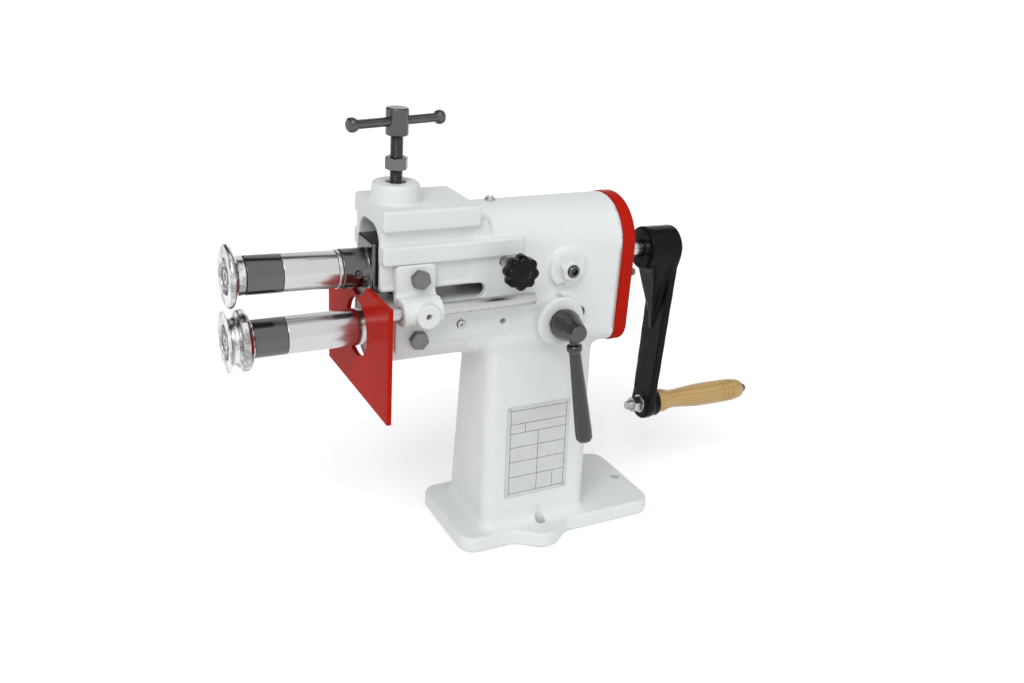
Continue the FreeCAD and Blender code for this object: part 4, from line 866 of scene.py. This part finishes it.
class BEAD_OT_grip(Maker, bpy.types.Operator):
    """Turned wooden grip on its bolt"""
    bl_idname = "bead.grip"
    bl_label = "Grip"

    def make(self, context):
        face = upper(CRANK_PLATE_X)
        outer, grip = face + CRANK_PLATE + CRANK_BOSS, GRIP_LENGTH
        hang = UPPER @ at(0, 0, -CRANK_REACH)
        start = outer + 0.4
        body = [(0, 12.4), (0.8, 13.2), (5, 14.8), (9, 15.5), (13, 15.1), (19, 13.3),
                (26, 12.2), (33, 12.3), (44, 13.2), (58, 14.6), (72, 15.4), (90, 15.7),
                (104, 15.6)]
        for groove in (109, 116, 123):
            radius = 15.5 - (groove - 109) * 0.03
            body += [(groove - 1.1, radius), (groove - 0.5, radius - 1.2),
                     (groove + 0.5, radius - 1.2), (groove + 1.1, radius)]
        body += [(132, 14.6), (139, 13.4), (143, 12.2), (grip - 11, 11)]
        ring = [(start, 5.1)] + [(start + along, r) for along, r in body]
        ring += [(start + grip - 11, 5.1)]
        wood = lathe("grip_wood", ring, "wood", hang, 0.4)
        stand_for(wood, "grip", "wooden_grip")
        cap_x = start + grip - 10.6
        cap_ring = [(cap_x, 5.1), (cap_x + 2.6, 5.1), (cap_x + 2.6, 7.4), (cap_x + 1.4, 9.4),
                    (cap_x, 9.8)]
        stand_for(lathe("grip_ferrule", cap_ring, "bolt", hang, 0.4), "grip", "grip_end_cap")
        self.bolt(face, outer, outer + grip, hang)

    def bolt(self, face, outer, tip, hang):
        shank = [(face - 2, 0), (face - 2, 5.9), (outer, 5.9), (outer, 5),
                 (tip - 7.4, 5), (tip - 7.4, 6.8), (tip - 4, 6.6), (tip - 3.4, 5),
                 (tip - 0.8, 4.8), (tip - 0.1, 3.8), (tip - 0.1, 0)]
        bar = lathe("grip_bolt", shank, "bolt", hang, 0.5, closed=False, around=48)
        stud = threaded("grip_stud", 5.95, 1.75, face - 22, face - 2, "zinc", hang)
        stand_for(joined("grip_bolt", bar, stud), "upper_spindle", "handle_bolt")
        washer = [(face - 2, 6), (face - 0.05, 6), (face - 0.05, 12), (face - 2, 12)]
        stand_for(lathe("grip_washer", washer, "zinc", hang, 0.4), "upper_spindle",
                  "handle_washer")
        back = hang @ at(face - 2, 0, 0) @ turn(180, "Z")
        nut = hex_piece("grip_nut", 19, 12, 6, "zinc", back, both=True)
        stand_for(nut, "upper_spindle", "handle_nut")


class BEAD_OT_pressure_screw(Maker, bpy.types.Operator):
    """Threaded pressure screw with its head, bar and lock nut"""
    bl_idname = "bead.pressure_screw"
    bl_label = "Pressure screw"

    def make(self, context):
        stand = at(SCREW_X, 0, 0) @ UPRIGHT
        stem = threaded("screw_thread", 7, 2, 391.4, 493, "blackened", stand, 1.0)
        stand_for(stem, "pressure_screw", "adjusting_screw")
        head = [(493.5, 0), (493.5, 10.8), (494.6, 12), (520.8, 12), (522, 10.8), (522, 0)]
        turn_up("screw_t_head", head, "blackened", stand, 0.9, "pressure_screw", "screw_head")
        nut_stand = at(0, 0, 458) @ stand
        nut = hex_piece("screw_lock_nut", 22, 13, 7.1, "bolt", nut_stand, both=True)
        stand_for(nut, "lock_nut", "lock_nut")
        across = at(SCREW_X, 0, 508) @ turn(15.6, "Z")
        end = [(51, 4.75), (52.3, 6.9), (55.5, 7.75), (58.8, 7.3), (60.6, 5.2), (61, 0)]
        bar = [(-along, radius) for along, radius in reversed(end)] + end
        turn_up("t_handle_bar", bar, "blackened", across, 1.2, "t_bar", "t_bar")
        dress("thrust_foot", "blackened")


class BEAD_OT_lever(Maker, bpy.types.Operator):
    """Shift lever: a turned steel hub and a black tapered handle"""
    bl_idname = "bead.lever"
    bl_label = "Shift lever"

    def make(self, context):
        out = at(LEVER_X, 0, LOWER_Z) @ TO_FRONT
        hub = [(66, 8), (66, 17.9), (67, 18.5), (73, 18.1), (97.6, 10.6), (99.4, 10.1), (100, 9.4),
               (100, 0)]
        cone = [(66, 0)] + hub
        turn_up("lever_cone", cone, "dark_steel", out, 0.8, "shift_lever", "lever_hub")
        aim = Vector((18, -20, -133)).to_track_quat("X", "Z").to_matrix().to_4x4()
        hang = at(LEVER_X, -84, LOWER_Z) @ aim
        rod = [(8.5, 0), (8.5, 4.9), (18, 4.9), (18.2, 8.2), (20, 9.1), (24, 9.1), (26, 8.0),
               (27.6, 6.9), (32, 6.9), (124, 10.1), (133.6, 9.9), (137.3, 7.9), (138.4, 4.9),
               (138.4, 0)]
        turn_up("lever_handle", rod, "lever", hang, 1.4, "shift_lever", "lever_rod")
        dress("eccentric_shaft", "steel_x")
        dress("lever_boss_set_screw", "blackened")
        side = at(0, -53, LOWER_Z + 8)
        plug = [(0.5, 0), (0.5, 4.9), (9.5, 4.9), (9.5, 2.6), (7, 2.6), (7, 0)]
        turn_up("lever_side_screw", plug, "blackened", side, 0.4, "root")


class BEAD_OT_knob(Maker, bpy.types.Operator):
    """Eight-lobed clamp knob"""
    bl_idname = "bead.knob"
    bl_label = "Star knob"

    def make(self, context):
        out = at(KNOB_X, 0, KNOB_Z) @ TO_FRONT
        front, back = 88, 70
        # Each row is a place along the stud, how far its edge is drawn in, and whether it has lobes.
        rows = [(58, 8.3, 0), (58.6, 8.8, 0), (69.4, 8.8, 0), (back, 9.8, 0), (back, 4.6, 1),
                (back + 0.4, 2.4, 1), (back + 1.6, 0.7, 1), (back + 3.2, 0, 1),
                (front - 4, 0, 1), (front - 2.2, 0.6, 1), (front - 0.9, 1.8, 1),
                (front - 0.1, 3.8, 1), (front, 6.2, 1), (front - 0.4, 9.6, 0),
                (front - 0.2, 8.4, 0), (front + 1.4, 7.2, 0), (front + 2.1, 4.6, 0),
                (front + 2.2, 0.01, 0)]

        def radius_at(row, angle):
            along, drawn, lobed = row
            if not lobed:
                return along, drawn
            wave = 0.5 + 0.5 * math.cos(8 * angle + 0.6)
            return along, 17 + 2.78 * wave ** 0.7 - drawn

        points, faces = swept(rows, radius_at, 192)
        cap(faces, 0, 192)
        knob = mesh_object("star_knob_moulded", points, faces, "knob", out, crease=48)
        stand_for(knob, "star_knob", "star_knob")
        dress("knob_stud", "zinc")


class BEAD_OT_fence(Maker, bpy.types.Operator):
    """Red sheet fence on its steel rod"""
    bl_idname = "bead.fence"
    bl_label = "Fence"

    def make(self, context):
        dress("fence_plate", "red")
        edge = NODES["fence_plate"].modifiers.new("edge", "BEVEL")
        edge.width = 0.6 * MM
        edge.segments = 2
        edge.angle_limit = math.radians(40)
        place = at(0, ROD_Y, ROD_Z)
        rod = [(-246.4, 0), (-246.4, 4.9), (-243, 4.9), (-243, 6.8), (-61, 6.8), (-61, 0)]
        turn_up("fence_rod", rod, "rod", place, 0.9, "fence", "guide_rod")
        spot = [(-248, 0), (-248, 5.05), (-246.5, 5.05), (-246.5, 0)]
        turn_up("fence_rod_end", spot, "red", place, 0.1, "fence")


class BEAD_OT_cover(Maker, bpy.types.Operator):
    """Red gear cover and its screws"""
    bl_idname = "bead.cover"
    bl_label = "Gear cover"

    def make(self, context):
        space = Space((52, -58, 241), (78, 58, 422), 1.0)
        outline = arch_distance(space.y, space.z, 55, 244, 419, 23)
        shape = flat_round(outline, span(space.x, HOUSE_REAR, COVER_FACE), 5)
        shape = np.where(space.x < 60, np.maximum(outline, HOUSE_REAR - space.x), shape)
        inside = flat_round(span(space.y, -40, 40), span(space.z, 257, 392), 12)
        shape = carved(shape, np.maximum(inside, space.x - 69), 0.5)
        shape = carved(shape, drum_x(space, 0, 344.98, 13.5, 40, 90, 0.1), 1)
        stand_for(space.mesh("gear_cover_cast", shape, "red", adapt=0.01), "root", "gear_cover")
        heads = []
        for n, (y, z) in enumerate([(-49, 333), (49, 333), (0, 409)]):
            head = [(-0.4, 0), (-0.4, 4.4), (0, 4.5), (3.8, 4.4), (4.6, 3.6), (4.6, 2.2),
                    (2.4, 2.1), (2.4, 0)]
            heads.append(lathe("cover_head_%d" % n, head, "bolt", at(COVER_FACE, y, z), 0.4,
                               closed=False, around=48))
        stand_for(joined("cover_screw_heads", *heads), "root", "cover_screws")


class BEAD_OT_fittings(Maker, bpy.types.Operator):
    """Pivot nuts and screws, oiler and set screws"""
    bl_idname = "bead.fittings"
    bl_label = "Fittings"

    def make(self, context):
        nuts = []
        screws = []
        for side in (-1, 1):
            out = at(PIVOT.x, 0, PIVOT.z) @ turn(side * 90, "Z")
            seat = out @ at(54, 0, 0) @ turn(14, "X")
            nuts.append(hex_piece("nut", 22, 10, 7, "casting", seat, both=True))
            screw = [(21, 0), (21, 5), (31, 5), (32.5, 6.9), (66.2, 6.9), (67, 6.1), (67, 4.0),
                     (62, 3.9), (61.5, 0)]
            screws.append(lathe("screw", screw, "blackened", out, 0.4, closed=False))
        stand_for(joined("pivot_lock_nuts", *nuts), "root", "pivot_nuts")
        stand_for(joined("pivot_point_screws", *screws), "root", "pivot_screws")
        stand = at(OILER_X, 0, 417.5) @ UPRIGHT
        oiler = [(-8, 0), (-8, 2.9), (0, 2.9), (0, 6), (2, 6), (2.6, 5.2), (4.5, 4.8),
                 (4.5, 2.4), (3.4, 1.8), (3.2, 0)]
        turn_up("oiler_cup", oiler, "zinc", stand, 0.35, "root", "top_oiler")
        pad = at(PAD_SCREW[0], 0, PAD_SCREW[1]) @ TO_FRONT
        grub = [(36, 0), (36, 4.2), (44.6, 4.4), (45.2, 3.9), (45.2, 2.2), (42.5, 2.1),
                (42.3, 0)]
        turn_up("pad_screw", grub, "zinc", pad, 0.3, "root", "pad_set_screw")


class BEAD_OT_plate(Maker, bpy.types.Operator):
    """Blank rating plate with ruled cells and rivets"""
    bl_idname = "bead.plate"
    bl_label = "Rating plate"

    def make(self, context):
        dress("rating_plate", "plate")
        dress("plate_rivets", "zinc")
        low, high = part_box("rating_plate")
        lean = math.atan((high[1] - low[1] - 0.0008) / (high[2] - low[2]))
        centre = (Vector(low) + Vector(high)) / 2 / MM
        tilt = Matrix.Translation(centre) @ Matrix.Rotation(-lean, 4, "X")
        wide, tall, inset = 76, 109, 0.7
        left, right, bottom, top = -wide / 2, wide / 2, -tall / 2, tall / 2
        rules = [(left, bottom, right, bottom), (left, top, right, top),
                 (left, bottom, left, top), (right, bottom, right, top)]
        for share in (0.20, 0.385, 0.56, 0.73, 0.84):
            height = bottom + tall * share
            rules.append((left, height, right, height))
        for share, low_end, high_end in ((0.5, 0, 0.73), (0.26, 0.73, 0.84), (0.79, 0, 0.20)):
            across = left + wide * share
            rules.append((across, bottom + tall * low_end, across, bottom + tall * high_end))
        points = []
        faces = []
        for x0, z0, x1, z1 in rules:
            thin = 0.3
            a, b = x0 - thin, x1 + thin
            c, e = z0 - thin, z1 + thin
            first = len(points)
            for y in (-0.4 - inset * 0.1, -0.3):
                points += [(a, y, c), (b, y, c), (b, y, e), (a, y, e)]
            faces += [(first, first + 1, first + 2, first + 3),
                      (first + 7, first + 6, first + 5, first + 4)]
            for k in range(4):
                n = (k + 1) % 4
                faces.append((first + k, first + 4 + k, first + 4 + n, first + n))
        lines = mesh_object("plate_rules", points, faces, "ink", tilt)
        stand_for(lines, "root")


class BEAD_OT_stage(Maker, bpy.types.Operator):
    """Pale floor, studio lamps and the camera"""
    bl_idname = "bead.stage"
    bl_label = "Stage"

    def make(self, context):
        self.camera(context)
        self.floor()
        self.world(context)
        self.lamps()
        context.scene.view_settings.view_transform = "Standard"

    def camera(self, context):
        data = bpy.data.cameras.new("camera")
        data.sensor_width = 36
        data.lens = 36 * 1000 / 1024
        data.clip_end = 50
        camera = bpy.data.objects.new("camera", data)
        right = Vector((0.8863, -0.4586, 0.0645))
        ahead = Vector((0.4464, 0.8090, -0.3824))
        up = ahead.cross(right) * -1
        aim = Matrix((right, up, -ahead)).transposed().to_4x4()
        camera.matrix_world = Matrix.Translation(Vector((-588, -971, 700)) * MM) @ aim
        context.collection.objects.link(camera)
        context.scene.camera = camera

    def floor(self):
        """White paper: seen white, and darker only where the machine shades it."""
        material, tree, shader = node_material("floor_paper")
        grain = noise(tree, place_of(tree), 300, 3)
        tree.links.new(shade(tree, grain.outputs["Fac"], (0.86, 0.86, 0.86), (0.88, 0.88, 0.88)),
                       shader.inputs["Base Color"])
        shader.inputs["Roughness"].default_value = 0.9
        shader.inputs["Specular IOR Level"].default_value = 0.1
        rays = add(tree, "ShaderNodeLightPath")
        seen = rays.outputs["Is Camera Ray"]
        for kind in ("Is Glossy Ray", "Is Transmission Ray"):
            seen = add(tree, "ShaderNodeMath", [(0, seen), (1, rays.outputs[kind])],
                       operation="ADD").outputs["Value"]
        glow = add(tree, "ShaderNodeMath", [(0, seen), (1, 0.28)], operation="MULTIPLY")
        shader.inputs["Emission Color"].default_value = (1, 1, 1, 1)
        tree.links.new(glow.outputs["Value"], shader.inputs["Emission Strength"])
        bpy.ops.mesh.primitive_plane_add(size=160, location=(0, 0, -0.0006))
        plane = bpy.context.object
        plane.name = "floor"
        plane.data.materials.append(material)

    def world(self, context):
        """A studio: white round the horizon, a broad soft light in front, dim overhead."""
        world = bpy.data.worlds.new("studio")
        context.scene.world = world
        world.use_nodes = True
        tree = world.node_tree
        ahead = add(tree, "ShaderNodeTexCoord").outputs["Generated"]

        def towards(direction, edge, full):
            """How much the view into the studio points towards a direction."""
            facing = add(tree, "ShaderNodeVectorMath", [(0, ahead), (1, direction)],
                         operation="DOT_PRODUCT")
            return add(tree, "ShaderNodeMapRange", [("Value", facing.outputs["Value"]),
                                                    ("From Min", edge), ("From Max", full)],
                       interpolation_type="SMOOTHSTEP").outputs["Result"]

        def blend(amount, low, high):
            return add(tree, "ShaderNodeMix", [("Factor", amount), ("A", low), ("B", high)],
                       data_type="FLOAT").outputs["Result"]

        level = blend(towards((0.30, 0.84, 0.45), 0.50, 0.74), 0.5, 0.06)
        level = blend(towards((-0.05, -0.60, 0.80), 0.56, 0.72), level, 1.0)
        level = blend(towards((0, 0, -1), -0.22, -0.12), level, 1.0)
        tree.links.new(level, tree.nodes["Background"].inputs["Strength"])
        tree.nodes["Background"].inputs["Color"].default_value = (1, 1, 1, 1)

    def lamps(self):
        # Each sun: name, the direction it comes from, its width in degrees, its strength.
        suns = (("key", (-0.50, -0.50, 0.70), 28, 1.15),
                ("back", (0.5, 0.75, 0.5), 50, 0.45))
        for name, source, width, strength in suns:
            data = bpy.data.lights.new(name, "SUN")
            data.angle = math.radians(width)
            data.energy = strength
            lamp = bpy.data.objects.new(name, data)
            lamp.location = Vector(source) * 2
            lamp.rotation_euler = (-Vector(source)).to_track_quat("-Z", "Y").to_euler()
            bpy.context.collection.objects.link(lamp)


class BEAD_PT_panel(bpy.types.Panel):
    """Lists the pieces that can be made"""
    bl_idname = "BEAD_PT_panel"
    bl_label = "Bead roller"
    bl_space_type = "VIEW_3D"
    bl_region_type = "UI"
    bl_category = "Bead roller"

    def draw(self, context):
        for group in (context.scene.bead_colours, context.scene.bead_sizes):
            for key in group.__annotations__:
                self.layout.prop(group, key)
        for operator in OPERATORS:
            self.layout.operator(operator.bl_idname)


OPERATORS = (BEAD_OT_casting, BEAD_OT_cover, BEAD_OT_bracket, BEAD_OT_rollers,
             BEAD_OT_spindles, BEAD_OT_carrier, BEAD_OT_crank, BEAD_OT_grip,
             BEAD_OT_pressure_screw, BEAD_OT_lever, BEAD_OT_knob, BEAD_OT_fence,
             BEAD_OT_fittings, BEAD_OT_plate, BEAD_OT_stage)
CLASSES = (BeadRollerColours, BeadRollerSizes) + OPERATORS + (BEAD_PT_panel,)


def register():
    for cls in CLASSES:
        bpy.utils.register_class(cls)
    bpy.types.Scene.bead_colours = PointerProperty(type=BeadRollerColours)
    bpy.types.Scene.bead_sizes = PointerProperty(type=BeadRollerSizes)


def unregister():
    del bpy.types.Scene.bead_sizes
    del bpy.types.Scene.bead_colours
    for cls in reversed(CLASSES):
        bpy.utils.unregister_class(cls)


def main():
    register()
    make_materials()
    for operator in OPERATORS:
        getattr(bpy.ops.bead, operator.bl_idname.split(".")[1])()


if __name__ == "__main__":
    main()
